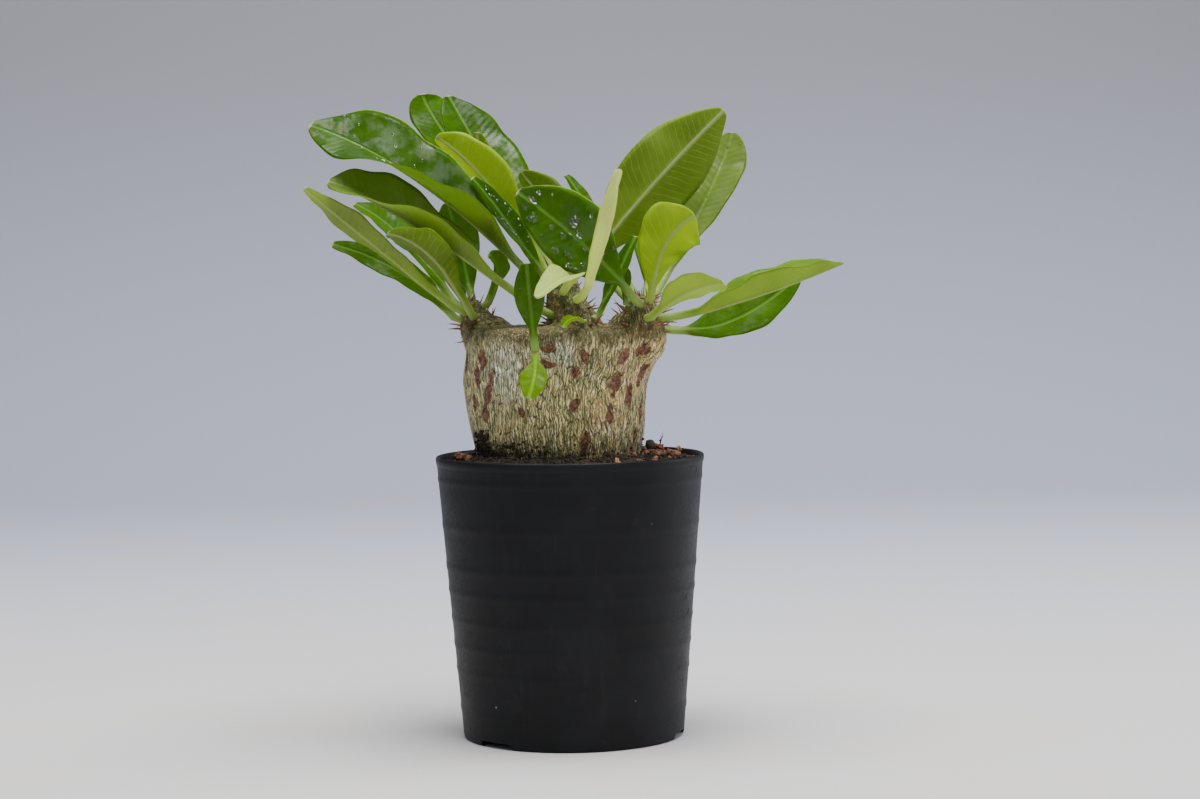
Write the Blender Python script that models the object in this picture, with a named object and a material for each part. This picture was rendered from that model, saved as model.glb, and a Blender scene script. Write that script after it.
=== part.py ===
"""Potted pachypodium: a young caudiciform plant in a black nursery pot.

Millimetres are used for the driving dimensions and turned into metres when a mesh is made.
The pot's axis is Z, the underside of its centre pad is z = 0 and the plant's front is -Y.
"""

import math
import random
from collections import namedtuple

import bmesh
import bpy
from mathutils import Matrix, Vector

MM = 0.001
SEED = 11

# Pot
POT_TOP_RADIUS = 45.0
POT_BASE_RADIUS = 37.2
POT_HEIGHT = 94.7
POT_WALL = 1.2
POT_FLOOR_TOP = 4.0
POT_FLOOR_THICKNESS = 1.6
POT_SEGMENTS = 64
RIM_BEAD = 0.35
RIM_BEAD_HEIGHT = 3.0
RIM_ROUNDING = 0.45
BASE_ROUNDING = 1.0
FOOT_WIDTH = 1.8
RING_HEIGHTS = (0.12, 0.25, 0.34, 0.43, 0.53, 0.62, 0.76, 0.92)
RING_DEPTH = 0.16
PAD_RADIUS = 9.0
NOTCH_COUNT = 3
NOTCH_FIRST_ANGLE = 226.0
NOTCH_WIDTH = 14.0
NOTCH_HEIGHT = 2.0
NOTCH_REACH = 16.0
DRAIN_COUNT = 8
DRAIN_RADIUS = 3.2
DRAIN_CIRCLE = 0.62
DRAIN_FIRST_ANGLE = 13.0
DRAIN_SEGMENTS = 20

# Gap kept between pieces that touch
CLEARANCE = 0.3

# Soil
SOIL_DROP = 2.2
SOIL_MOUND = 2.6
SOIL_ROUGHNESS = 0.45

# Caudex: every plant length follows the width of the swollen trunk
CAUDEX_WIDTH = 66.0
DRAWN_CAUDEX_WIDTH = 66.0
PLANT = CAUDEX_WIDTH / DRAWN_CAUDEX_WIDTH
CAUDEX_DEPTH_RATIO = 0.90
CAUDEX_SEGMENTS = 40
CAUDEX_BURIAL = 33.0
CAUDEX_RIPPLE = 0.5
ARM_SEGMENTS = 16
SPINE_ROOT = 1.2
SPINE_RADIUS = 0.7

# Leaves
LEAF_STATIONS = 13
LEAF_THICKNESS = 0.6
MIDRIB_THICKNESS = 1.1
PETIOLE_RADIUS = 1.35
PETIOLE_NOSE = 0.35
WIDEST_AT = 0.54
BASE_TAPER = 1.05
TIP_ROUNDING = 0.82
TIP_HALF_WIDTH = 0.35
PETIOLE_FLATNESS = 0.87
NARROW_LEAF = 9.0
TIP_CROWDING = 1.25
LEAF_TONES = {"deep": (0.030, 0.110, 0.020), "fresh": (0.110, 0.230, 0.035), "lime": (0.200, 0.360, 0.020)}

# Granules lying on the soil
GRANULE_SIZE = 3.6

# Heights above the rim plane, centre x, half width as a share of the full width
Ring = namedtuple("Ring", "height centre share")
CAUDEX_RINGS = (
    Ring(-1.00, -4.0, 0.10),
    Ring(-0.93, -4.0, 0.22),
    Ring(-0.75, -4.0, 0.33),
    Ring(-0.45, -4.0, 0.392),
    Ring(-0.15, -3.8, 0.412),
    Ring(0.0, -3.7, 0.420),
    Ring(0.15, -3.9, 0.438),
    Ring(0.30, -4.2, 0.450),
    Ring(0.45, -4.3, 0.460),
    Ring(0.58, -3.9, 0.472),
    Ring(0.70, -2.8, 0.484),
    Ring(0.82, -1.8, 0.494),
    Ring(0.91, -1.3, 0.500),
    Ring(0.955, -1.2, 0.491),
    Ring(0.985, -1.2, 0.45),
    Ring(1.0, -1.2, 0.32),
)
CAUDEX_RISE = 43.4

# Arms and shoots: stations along each axis, x and y from the pot axis, z from the rim plane
Station = namedtuple("Station", "x y z radius")
ARMS = {
    "left": (
        Station(-21.0, 1.0, 30.0, 8.0),
        Station(-26.8, 1.0, 39.0, 8.8),
        Station(-30.2, 1.0, 43.6, 6.6),
        Station(-31.8, 1.0, 48.0, 4.5),
        Station(-32.7, 1.0, 51.2, 3.2),
        Station(-33.0, 1.0, 52.6, 1.4),
    ),
    "centre": (
        Station(2.0, -6.5, 34.0, 10.0),
        Station(1.7, -6.8, 42.0, 10.2),
        Station(0.8, -7.2, 46.5, 8.0),
        Station(-0.8, -7.6, 52.0, 6.2),
        Station(-1.8, -7.8, 58.0, 5.0),
        Station(-2.4, -8.0, 62.0, 3.6),
        Station(-2.5, -8.0, 63.6, 1.5),
    ),
    "right": (
        Station(18.0, -5.0, 30.0, 8.0),
        Station(22.4, -9.5, 39.0, 10.4),
        Station(24.2, -12.8, 44.0, 8.2),
        Station(24.8, -14.4, 48.5, 6.0),
        Station(25.0, -15.0, 51.6, 4.0),
        Station(25.0, -15.0, 53.0, 1.8),
    ),
    "front": (
        Station(-10.0, -24.0, 31.0, 4.2),
        Station(-10.2, -28.6, 33.4, 3.0),
        Station(-10.3, -30.6, 34.6, 2.3),
        Station(-10.4, -31.6, 35.2, 1.2),
    ),
    "top": (
        Station(6.4, -18.0, 38.0, 5.0),
        Station(6.8, -19.6, 43.5, 3.4),
        Station(7.0, -20.6, 45.6, 2.4),
        Station(7.0, -20.8, 46.6, 1.2),
    ),
}

# A spine: the arm it grows on, its compass angle, drop below the arm's tip, rise in degrees, length
Spine = namedtuple("Spine", "arm angle drop rise length")
SPINES = (
    Spine("left", 205, 10.0, 0, 5.0),
    Spine("left", 160, 9.0, 15, 4.5),
    Spine("left", 300, 9.0, 20, 4.0),
    Spine("left", 30, 9.5, 30, 4.0),
    Spine("centre", 240, 14.0, 25, 4.5),
    Spine("centre", 150, 14.5, 20, 4.5),
    Spine("centre", 330, 17.0, 15, 4.0),
    Spine("centre", 20, 15.5, 20, 4.5),
    Spine("centre", 75, 16.0, 20, 4.5),
    Spine("right", 235, 9.5, 20, 4.0),
    Spine("right", 320, 9.8, 10, 4.5),
    Spine("right", 30, 8.0, 15, 4.5),
    Spine("right", 150, 9.5, 25, 4.5),
)

# A leaf: the arm it grows on, its green, compass angle, rise and drop of its seat, its tip from the
# arm's tip, the midrib's bow away from a straight line, the way its upper face looks at mid length and how far
# that way turns from base to tip, full width, how far the halves fold up near the base and near the
# tip, and the petiole's share of the length
Leaf = namedtuple(
    "Leaf",
    "name arm tone angle rise drop tip bow face twist width fold_base fold_tip petiole widest",
    defaults=(WIDEST_AT,),
)
LEAVES = (
    Leaf("leaf_left_1", "left", "fresh", 238, 0, 4.5, (-51, -31, 37), (-4, -3, 3), (45, 50, 72), 0, 16, 10, 5, 0.18),
    Leaf("leaf_left_2", "left", "deep", 190, 0, 6.0, (-45, -7, 19), (3, -2, 3), (30, -65, 65), 0, 13, 15, 10, 0.12),
    Leaf("leaf_left_3", "left", "fresh", 268, 0, 6.5, (-24, -39, 22), (1, -4, 6), (30, 60, 60), 0, 17, 20, 10, 0.22),
    Leaf("leaf_left_4", "left", "deep", 140, 0, 4.5, (-40, 22, 33), (-1, 3, 6), (50, -50, 60), 0, 14, 20, 10, 0.15),
    Leaf("leaf_left_5", "left", "deep", 85, 0, 3.5, (-8, 18, 33), (0, 3, 2), (0, -90, 35), 0, 15, 20, 10, 0.15),
    Leaf("leaf_left_6", "left", "fresh", 345, 0, 4.0, (7, -4, 15), (3, 1, 2), (60, -60, 30), 0, 10, 35, 30, 0.35),
    Leaf("leaf_left_7", "left", "deep", 110, 0, 7.0, (-20, 50, 22), (0, 3, 6), (0, -40, 90), 0, 15, 20, 8, 0.16),
    Leaf("leaf_centre_1", "centre", "deep", 200, 0, 7.5, (-81, -8, 47), (0, -6, 7), (50, -40, 70), -60, 31, 84, 2, 0.1, 0.68),
    Leaf("leaf_centre_2", "centre", "deep", 218, 0, 15.5, (-74, -22, 28), (-7, -5, 8), (53, -25, 80), -45, 25, 84, 8, 0.16, 0.64),
    Leaf("leaf_centre_3", "centre", "deep", 112, 0, 6.0, (-48, 56, 61), (-12, 14, 14), (30, -80, 50), 0, 20, 20, 8, 0.12),
    Leaf("leaf_centre_4", "centre", "deep", 85, 0, 8.0, (-38, 38, 59), (-4, 2, 6), (50, -75, 40), 0, 26, 20, 8, 0.12),
    Leaf("leaf_centre_5", "centre", "lime", 143, 0, 3.5, (-40, -2, 43), (0, 0, 6), (50, 85, 30), 0, 18, 35, 25, 0.16),
    Leaf("leaf_centre_6", "centre", "fresh", 110, 0, 2.6, (-27, 13, 45), (-7, 3, 7), (50, 80, 30), 0, 9, 25, 15, 0.14),
    Leaf("leaf_centre_7", "centre", "deep", 180, 0, 4.6, (-28, -8, 29), (2, -1, -1), (60, -70, 40), 0, 10, 25, 15, 0.14),
    Leaf("leaf_centre_8", "centre", "fresh", 10, 0, 5.0, (56, 12, 51), (-1, -2, 1), (-20, 93, 10), 0, 27, 12, 5, 0.12),
    Leaf("leaf_centre_9", "centre", "fresh", 312, 0, 12.5, (20, -60, 29), (1, -18, -5), (-30, 60, 70), 0, 9, 60, 45, 0.18),
    Leaf("leaf_centre_10", "centre", "fresh", 268, 0, 9.0, (-6, -62, -10), (6, -4, 6), (30, 30, 80), 0, 12, 30, 20, 0.2),
    Leaf("leaf_centre_11", "centre", "deep", 60, 0, 10.5, (-4, 58, 18), (2, 3, 4), (0, -40, 90), 0, 18, 20, 8, 0.16),
    Leaf("leaf_right_1", "right", "deep", 130, 0, 4.5, (-40, 21, 42), (-5, 4, 6), (50, 80, 30), 0, 16, 30, 15, 0.18),
    Leaf("leaf_right_2", "right", "deep", 105, 0, 2.5, (-25, 27, 41), (-3, 4, 7), (50, -70, 30), 0, 6, 25, 15, 0.18),
    Leaf("leaf_right_3", "right", "deep", 262, 0, 2.5, (-40, -26, 34), (2, -4, 1), (40, -90, 10), 0, 25, 14, 8, 0.2),
    Leaf("leaf_right_4", "right", "deep", 60, 0, 3.0, (32, 35, 55), (6, 6, 8), (-30, -85, 30), 0, 19, 15, 6, 0.14),
    Leaf("leaf_right_5", "right", "lime", 300, 0, 2.0, (17, -13, 26), (-3, -1, 4), (-30, 90, 30), 0, 22, 15, 10, 0.14, 0.7),
    Leaf("leaf_right_6", "right", "fresh", 285, 0, 5.5, (25, -43, 4), (0, -3, 3), (-20, 80, 55), 0, 15, 15, 8, 0.20),
    Leaf("leaf_right_7", "right", "fresh", 338, 0, 6.0, (66, -3, 10), (-1, -3, -2), (-25, -10, 95), 0, 20, 52, 40, 0.18),
    Leaf("leaf_right_8", "right", "deep", 5, 0, 9.5, (53, 17, 6), (0, -1, -6), (-15, -80, 60), 0, 17, 12, 6, 0.14),
    Leaf("leaf_right_9", "right", "deep", 205, 0, 3.5, (-7, -4, 10), (0, 0, 1), (40, -80, 30), 0, 6, 25, 20, 0.3),
    Leaf("leaf_right_10", "right", "deep", 85, 0, 5.0, (10, 58, 22), (0, 3, 6), (0, -40, 90), 0, 17, 20, 8, 0.16),
    Leaf("leaf_top_1", "top", "deep", 15, 20, 1.0, (16, 3, 26), (-1, -3, -2), (-50, -80, 30), 0, 7, 25, 15, 0.25),
    Leaf("leaf_top_2", "top", "lime", 245, 10, 1.0, (-8, -15, -3), (0, -1, 2), (0, -30, 95), 0, 5, 25, 20, 0.30),
    Leaf("leaf_front_1", "front", "deep", 270, 60, 0.0, (-2, -10, 29), (0, -3, 0), (0, -95, 30), 0, 10, 14, 8, 0.24),
    Leaf("leaf_front_2", "front", "lime", 270, -35, 0.0, (-2, -13, -14), (1, -2, 1), (0, -80, 60), 0, 9, 14, 8, 0.20),
)

# A granule: compass angle, place between caudex and wall, size, flattening, turn
Granule = namedtuple("Granule", "angle place size flat turn")
GRANULES = (
    Granule(22, 0.45, 1.00, 0.80, 15),
    Granule(38, 0.62, 1.25, 0.75, 70),
    Granule(52, 0.40, 0.90, 0.85, 120),
    Granule(8, 0.66, 0.95, 0.80, 200),
    Granule(70, 0.55, 1.10, 0.70, 40),
    Granule(-12, 0.50, 0.85, 0.80, 260),
    Granule(196, 0.55, 0.95, 0.75, 300),
    Granule(118, 0.60, 1.15, 0.75, 150),
)


def clear_scene():
    for item in list(bpy.data.objects):
        bpy.data.objects.remove(item, do_unlink=True)


def make_material(name, colour, roughness, metallic=0.0):
    material = bpy.data.materials.new(name)
    material.use_nodes = True
    shader = material.node_tree.nodes["Principled BSDF"]
    shader.inputs["Base Color"].default_value = (*colour, 1.0)
    shader.inputs["Roughness"].default_value = roughness
    shader.inputs["Metallic"].default_value = metallic
    return material


def link_mesh(name, points, faces, material, smooth=True):
    """Makes an object from points in millimetres, with its faces turned outward."""
    mesh = bpy.data.meshes.new(name)
    mesh.from_pydata([Vector(p) * MM for p in points], [], faces)
    builder = bmesh.new()
    builder.from_mesh(mesh)
    bmesh.ops.recalc_face_normals(builder, faces=builder.faces)
    builder.to_mesh(mesh)
    builder.free()
    mesh.materials.append(material)
    for polygon in mesh.polygons:
        polygon.use_smooth = smooth
    item = bpy.data.objects.new(name, mesh)
    bpy.context.scene.collection.objects.link(item)
    return item


def skin_rings(rings, first_point, last_point):
    """Joins equal-sized rings into one closed skin with a point at each end."""
    count = len(rings[0])
    points = [first_point] + [p for ring in rings for p in ring] + [last_point]
    faces = []
    for k in range(count):
        after = (k + 1) % count
        faces.append((0, 1 + after, 1 + k))
        last_ring = 1 + (len(rings) - 1) * count
        faces.append((len(points) - 1, last_ring + k, last_ring + after))
    for level in range(len(rings) - 1):
        low = 1 + level * count
        high = low + count
        for k in range(count):
            after = (k + 1) % count
            faces.append((low + k, low + after, high + after, high + k))
    return points, faces


def split_evenly(faces, count):
    """Splits a sheet's four-sided faces so that its two skins share their diagonals."""
    result = []
    for face in faces:
        if len(face) == 3:
            result.append(face)
            continue
        low, low_next, high_next, high = face
        if (low - 1) % count < count // 2:
            result += [(low, low_next, high_next), (low, high_next, high)]
        else:
            result += [(low, low_next, high), (low_next, high_next, high)]
    return result


def circle(radius, z, segments, centre=(0.0, 0.0)):
    return [
        (
            centre[0] + radius * math.cos(math.tau * k / segments),
            centre[1] + radius * math.sin(math.tau * k / segments),
            z,
        )
        for k in range(segments)
    ]


def apply_boolean(item, cutter, operation):
    """Applies one exact Boolean to item and removes the cutter."""
    cutter.hide_render = True
    cutter.display_type = "WIRE"
    modifier = item.modifiers.new("combine", "BOOLEAN")
    modifier.operation = operation
    modifier.solver = "EXACT"
    modifier.object = cutter
    bpy.context.view_layer.update()
    graph = bpy.context.evaluated_depsgraph_get()
    result = bpy.data.meshes.new_from_object(item.evaluated_get(graph))
    item.modifiers.clear()
    item.data = result
    bpy.data.objects.remove(cutter, do_unlink=True)


# ---------------------------------------------------------------- pot


def pot_outer_radius(z):
    return POT_BASE_RADIUS + (POT_TOP_RADIUS - POT_BASE_RADIUS) * z / POT_HEIGHT


def pot_inner_radius(z):
    return pot_outer_radius(z) - POT_WALL


def pot_profile():
    """Radius and height pairs, from the underside's centre, up the outside and down the inside."""
    floor_bottom = POT_FLOOR_TOP - POT_FLOOR_THICKNESS
    foot_inner = POT_BASE_RADIUS - FOOT_WIDTH
    bead_low = POT_HEIGHT - RIM_BEAD_HEIGHT
    profile = [
        (PAD_RADIUS, 0.0),
        (PAD_RADIUS + 0.4, floor_bottom),
        (foot_inner - 0.4, floor_bottom),
        (foot_inner, 0.0),
        (POT_BASE_RADIUS - BASE_ROUNDING, 0.0),
        (pot_outer_radius(0.3 * BASE_ROUNDING) - 0.35 * BASE_ROUNDING, 0.3 * BASE_ROUNDING),
        (pot_outer_radius(BASE_ROUNDING), BASE_ROUNDING),
    ]
    for number, share in enumerate(RING_HEIGHTS):
        depth = RING_DEPTH if number % 2 == 0 else -RING_DEPTH
        z = share * POT_HEIGHT
        profile.append((pot_outer_radius(z) + depth, z))
    profile += [
        (pot_outer_radius(bead_low), bead_low),
        (pot_outer_radius(bead_low) + RIM_BEAD, bead_low + 0.3 * RIM_BEAD_HEIGHT),
        (POT_TOP_RADIUS, POT_HEIGHT - RIM_ROUNDING),
        (POT_TOP_RADIUS - RIM_ROUNDING, POT_HEIGHT),
        (POT_TOP_RADIUS - POT_WALL + 0.2, POT_HEIGHT),
        (pot_inner_radius(POT_HEIGHT), POT_HEIGHT - RIM_ROUNDING),
        (pot_inner_radius(0.5 * POT_HEIGHT), 0.5 * POT_HEIGHT),
        (pot_inner_radius(POT_FLOOR_TOP), POT_FLOOR_TOP),
    ]
    return profile


def notch_cutter(angle):
    """A rounded slot through the foot."""
    cutter = link_mesh("notch_cutter", *box_mesh(NOTCH_REACH, NOTCH_WIDTH, 2.0 * NOTCH_HEIGHT), None)
    turn = Matrix.Rotation(math.radians(angle), 4, "Z")
    shift = Matrix.Translation(Vector((POT_BASE_RADIUS, 0.0, 0.0)) * MM)
    cutter.data.transform(turn @ shift)
    return cutter


def box_mesh(length, width, height):
    corners = [
        (x * length / 2, y * width / 2, z * height / 2)
        for x in (-1, 1)
        for y in (-1, 1)
        for z in (-1, 1)
    ]
    faces = [(0, 1, 3, 2), (4, 6, 7, 5), (0, 4, 5, 1), (2, 3, 7, 6), (0, 2, 6, 4), (1, 5, 7, 3)]
    return corners, faces


def drain_cutter(angle):
    reach = DRAIN_CIRCLE * POT_BASE_RADIUS
    centre = tuple(direction(angle, 0) * reach)[:2]
    rings = [circle(DRAIN_RADIUS, z, DRAIN_SEGMENTS, centre) for z in (1.0, POT_FLOOR_TOP + 1.0)]
    points, faces = skin_rings(rings, (*centre, 1.0), (*centre, POT_FLOOR_TOP + 1.0))
    return link_mesh("drain_cutter", points, faces, None)


def build_pot():
    plastic = make_material("pot_plastic", (0.018, 0.018, 0.019), 0.55)
    rings = [circle(radius, z, POT_SEGMENTS) for radius, z in pot_profile()]
    points, faces = skin_rings(rings, (0.0, 0.0, 0.0), (0.0, 0.0, POT_FLOOR_TOP))
    pot = link_mesh("pot", points, faces, plastic)
    for number in range(NOTCH_COUNT):
        apply_boolean(pot, notch_cutter(NOTCH_FIRST_ANGLE + number * 360.0 / NOTCH_COUNT), "DIFFERENCE")
    for number in range(DRAIN_COUNT):
        apply_boolean(pot, drain_cutter(DRAIN_FIRST_ANGLE + number * 360.0 / DRAIN_COUNT), "DIFFERENCE")
    return pot


# ---------------------------------------------------------------- caudex


def ring_height(ring):
    """Height of a caudex ring: the part above the rim rises, the part below is buried."""
    extent = CAUDEX_RISE if ring.height > 0 else CAUDEX_BURIAL
    return POT_HEIGHT + PLANT * extent * ring.height


def caudex_ring(ring, grow=0.0):
    """One ring of the trunk: an ellipse with shallow lobes, grown outward by the given gap."""
    half = ring.share * CAUDEX_WIDTH
    z = ring_height(ring)
    points = []
    for k in range(CAUDEX_SEGMENTS):
        angle = math.tau * k / CAUDEX_SEGMENTS
        lobe = CAUDEX_RIPPLE * PLANT * math.sin(5 * angle + 9.0 * ring.height) * ring.share
        reach_x = half + lobe + grow
        reach_y = CAUDEX_DEPTH_RATIO * half + lobe + grow
        points.append(
            (PLANT * ring.centre + reach_x * math.cos(angle), reach_y * math.sin(angle), z)
        )
    return points


def arm_stations(arm):
    return [
        Station(PLANT * s.x, PLANT * s.y, POT_HEIGHT + PLANT * s.z, PLANT * s.radius)
        for s in ARMS[arm]
    ]


def arm_at(arm, drop):
    """Centre, radius and axis of an arm at a given drop below its tip."""
    stations = arm_stations(arm)
    z = stations[-1].z - PLANT * drop
    for low, high in zip(stations, stations[1:]):
        if low.z <= z <= high.z:
            t = (z - low.z) / (high.z - low.z)
            start = Vector(low[:3])
            end = Vector(high[:3])
            radius = low.radius + t * (high.radius - low.radius)
            return start.lerp(end, t), radius, (end - start).normalized()
    raise ValueError(f"a drop of {drop} is below the arm {arm}")


def arm_tip(arm):
    return Vector(arm_stations(arm)[-1][:3])


def direction(angle, rise):
    angle = math.radians(angle)
    rise = math.radians(rise)
    return Vector(
        (math.cos(rise) * math.cos(angle), math.cos(rise) * math.sin(angle), math.sin(rise))
    )


def build_arm(arm):
    """A tapered limb that flares into the trunk."""
    stations = arm_stations(arm)
    rings = []
    for before, station, after in zip(
        [stations[0]] + stations[:-1], stations, stations[1:] + [stations[-1]]
    ):
        axis = (Vector(after[:3]) - Vector(before[:3])).normalized()
        side = axis.cross(Vector((0.0, 1.0, 0.0))).normalized()
        front = side.cross(axis)
        ring = []
        for k in range(ARM_SEGMENTS):
            angle = math.tau * k / ARM_SEGMENTS
            offset = side * math.cos(angle) - front * math.sin(angle)
            ring.append(Vector(station[:3]) + offset * station.radius)
        rings.append(ring)
    top = Vector(stations[-1][:3]) + Vector((0.0, 0.0, 0.4 * PLANT))
    points, faces = skin_rings(rings, Vector(stations[0][:3]), top)
    return link_mesh("arm_" + arm, points, faces, None)


def build_spine(spine):
    """A slender four-sided thorn rooted inside the arm."""
    centre, radius, _ = arm_at(spine.arm, spine.drop)
    heading = direction(spine.angle, spine.rise)
    across = heading.cross(Vector((0.0, 0.0, 1.0))).normalized()
    upward = across.cross(heading)
    root = centre + direction(spine.angle, 0) * (radius - SPINE_ROOT * PLANT)
    tip = root + heading * (spine.length + SPINE_ROOT) * PLANT
    base = [
        root + (across * math.cos(a) + upward * math.sin(a)) * SPINE_RADIUS * PLANT
        for a in (0.0, 0.5 * math.pi, math.pi, 1.5 * math.pi)
    ]
    near = [root.lerp(tip, 0.95) + (p - root) * 0.25 for p in base]
    points, faces = skin_rings([base, near], root, tip)
    return link_mesh("spine", points, faces, None)


def build_caudex():
    """Trunk, arms, shoots and spines, grown as one solid."""
    bark = make_material("caudex_bark", (0.36, 0.33, 0.22), 0.8)
    rings = [caudex_ring(ring) for ring in CAUDEX_RINGS]
    low = CAUDEX_RINGS[0]
    high = CAUDEX_RINGS[-1]
    bottom = (PLANT * low.centre, 0.0, ring_height(low) - 0.5)
    crown = (PLANT * high.centre, 0.0, ring_height(high) + 0.2)
    points, faces = skin_rings(rings, bottom, crown)
    caudex = link_mesh("caudex", points, faces, bark)
    for arm in ARMS:
        apply_boolean(caudex, build_arm(arm), "UNION")
    for spine in SPINES:
        apply_boolean(caudex, build_spine(spine), "UNION")
    finish_union(caudex, bark)
    return caudex


def finish_union(item, material):
    """Gives a united mesh one material and smooth faces."""
    item.data.materials.clear()
    item.data.materials.append(material)
    for polygon in item.data.polygons:
        polygon.material_index = 0
        polygon.use_smooth = True


# ---------------------------------------------------------------- soil


def soil_height(place, angle):
    """Height of the soil surface, from the socket's edge (0) to the wall (1)."""
    wall = POT_HEIGHT - SOIL_DROP
    mound = SOIL_MOUND * (1.0 - place) ** 1.3
    bumps = math.sin(7 * angle + 3 * place) + math.sin(13 * angle - 5 * place)
    fade = math.sin(math.pi * min(1.0, place + 0.08))
    return wall + mound + 0.5 * SOIL_ROUGHNESS * bumps * fade


def socket_edge():
    """Centre offset and reach both ways of the socket's edge at the soil surface."""
    waist = next(ring for ring in CAUDEX_RINGS if ring.height == 0.0)
    gap = CLEARANCE + CAUDEX_RIPPLE * PLANT
    half = waist.share * CAUDEX_WIDTH
    return PLANT * waist.centre, half + gap, CAUDEX_DEPTH_RATIO * half + gap


def soil_point(place, angle):
    """A point of the soil surface between the socket's edge and the pot wall."""
    centre, reach_x, reach_y = socket_edge()
    inner = Vector((centre + reach_x * math.cos(angle), reach_y * math.sin(angle), 0.0))
    z = soil_height(place, angle)
    wall = pot_inner_radius(z) - CLEARANCE
    outer = Vector((wall * math.cos(angle), wall * math.sin(angle), 0.0))
    point = inner.lerp(outer, place)
    point.z = z
    return point


def build_soil():
    earth = make_material("soil_mix", (0.035, 0.022, 0.014), 0.95)
    angles = [math.tau * k / CAUDEX_SEGMENTS for k in range(CAUDEX_SEGMENTS)]
    socket = [ring for ring in CAUDEX_RINGS if ring.height < -0.05]
    rings = [caudex_ring(ring, CLEARANCE) for ring in socket]
    rings += [[soil_point(place, a) for a in angles] for place in (0.0, 0.2, 0.45, 0.7, 0.9, 1.0)]
    floor = POT_FLOOR_TOP + CLEARANCE
    for z in (0.8 * POT_HEIGHT, 0.4 * POT_HEIGHT, floor):
        rings.append(circle(pot_inner_radius(z) - CLEARANCE, z, CAUDEX_SEGMENTS))
    low = CAUDEX_RINGS[0]
    pit = (PLANT * low.centre, 0.0, ring_height(low) - 0.5 - CLEARANCE)
    points, faces = skin_rings(rings, pit, (0.0, 0.0, floor))
    return link_mesh("soil", points, faces, earth)


def build_granule(number, granule, material):
    """A rough lump of pumice resting just clear of the soil."""
    source = random.Random(SEED + number)
    builder = bmesh.new()
    bmesh.ops.create_icosphere(builder, subdivisions=1, radius=0.5)
    size = GRANULE_SIZE * granule.size
    turn = Matrix.Rotation(math.radians(granule.turn), 3, "Z")
    for vertex in builder.verts:
        point = vertex.co * source.uniform(0.82, 1.12)
        point.z *= granule.flat
        vertex.co = turn @ point * size
    points = [v.co.copy() for v in builder.verts]
    faces = [tuple(v.index for v in face.verts) for face in builder.faces]
    builder.free()
    seat = soil_point(granule.place, math.radians(granule.angle) % math.tau)
    lowest = min(p.z for p in points)
    lift = seat.z + CLEARANCE + SOIL_ROUGHNESS - lowest
    points = [p + Vector((seat.x, seat.y, lift)) for p in points]
    return link_mesh(f"granule_{number + 1}", points, faces, material, smooth=False)


# ---------------------------------------------------------------- leaves


def leaf_seat(leaf):
    """Where a petiole meets its arm, one clearance off the bark."""
    centre, radius, axis = arm_at(leaf.arm, leaf.drop)
    outward = direction(leaf.angle, leaf.rise)
    if leaf.drop > 0:
        outward = (outward - axis * outward.dot(axis)).normalized()
    return centre + outward * (radius + CLEARANCE + PETIOLE_NOSE)


def leaf_midrib(leaf):
    """Base, control point and tip of the midrib's curve."""
    base = leaf_seat(leaf)
    tip = arm_tip(leaf.arm) + Vector(leaf.tip) * PLANT
    control = (base + tip) / 2 + Vector(leaf.bow) * 2 * PLANT
    return base, control, tip


def blade_share(leaf, t):
    """Half width of the blade at t along the leaf, as a share of its widest."""
    if t <= leaf.petiole:
        return 0.0
    s = (t - leaf.petiole) / (1.0 - leaf.petiole)
    if s < leaf.widest:
        return math.sin(0.5 * math.pi * s / leaf.widest) ** BASE_TAPER
    closing = math.cos(0.5 * math.pi * (s - leaf.widest) / (1.0 - leaf.widest))
    return max(0.0, closing) ** TIP_ROUNDING


def blend(a, b, t):
    return a + (b - a) * t


def leaf_section(leaf, t):
    """Eight points around the leaf at t: sideways and faceward offsets in millimetres."""
    share = blade_share(leaf, t)
    petiole = PETIOLE_RADIUS * PLANT * min(1.0, leaf.width / NARROW_LEAF)
    half = blend(petiole, PLANT * leaf.width / 2, share)
    fold = math.radians(blend(leaf.fold_base, leaf.fold_tip, t)) * min(1.0, 2.5 * share)
    flat = min(1.0, 1.6 * share)
    keel = blend(petiole, MIDRIB_THICKNESS * (1.0 - 0.55 * t), flat)
    under = blend(PETIOLE_FLATNESS * petiole, LEAF_THICKNESS, flat)
    over = blend(PETIOLE_FLATNESS * petiole, 0.0, flat)
    crest = blend(petiole, -0.1, flat)
    if t == 1.0:
        half, keel, under, over, crest = TIP_HALF_WIDTH, TIP_HALF_WIDTH, 0.5 * LEAF_THICKNESS, 0.0, 0.0
    out = math.cos(fold)
    rise = math.sin(fold)
    return [
        (-half * out, half * rise - 0.3 * LEAF_THICKNESS * flat),
        (-0.5 * half * out, 0.46 * half * rise - under),
        (0.0, -keel),
        (0.5 * half * out, 0.46 * half * rise - under),
        (half * out, half * rise - 0.3 * LEAF_THICKNESS * flat),
        (0.5 * half * out, 0.46 * half * rise + over),
        (0.0, crest),
        (-0.5 * half * out, 0.46 * half * rise + over),
    ]


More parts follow.
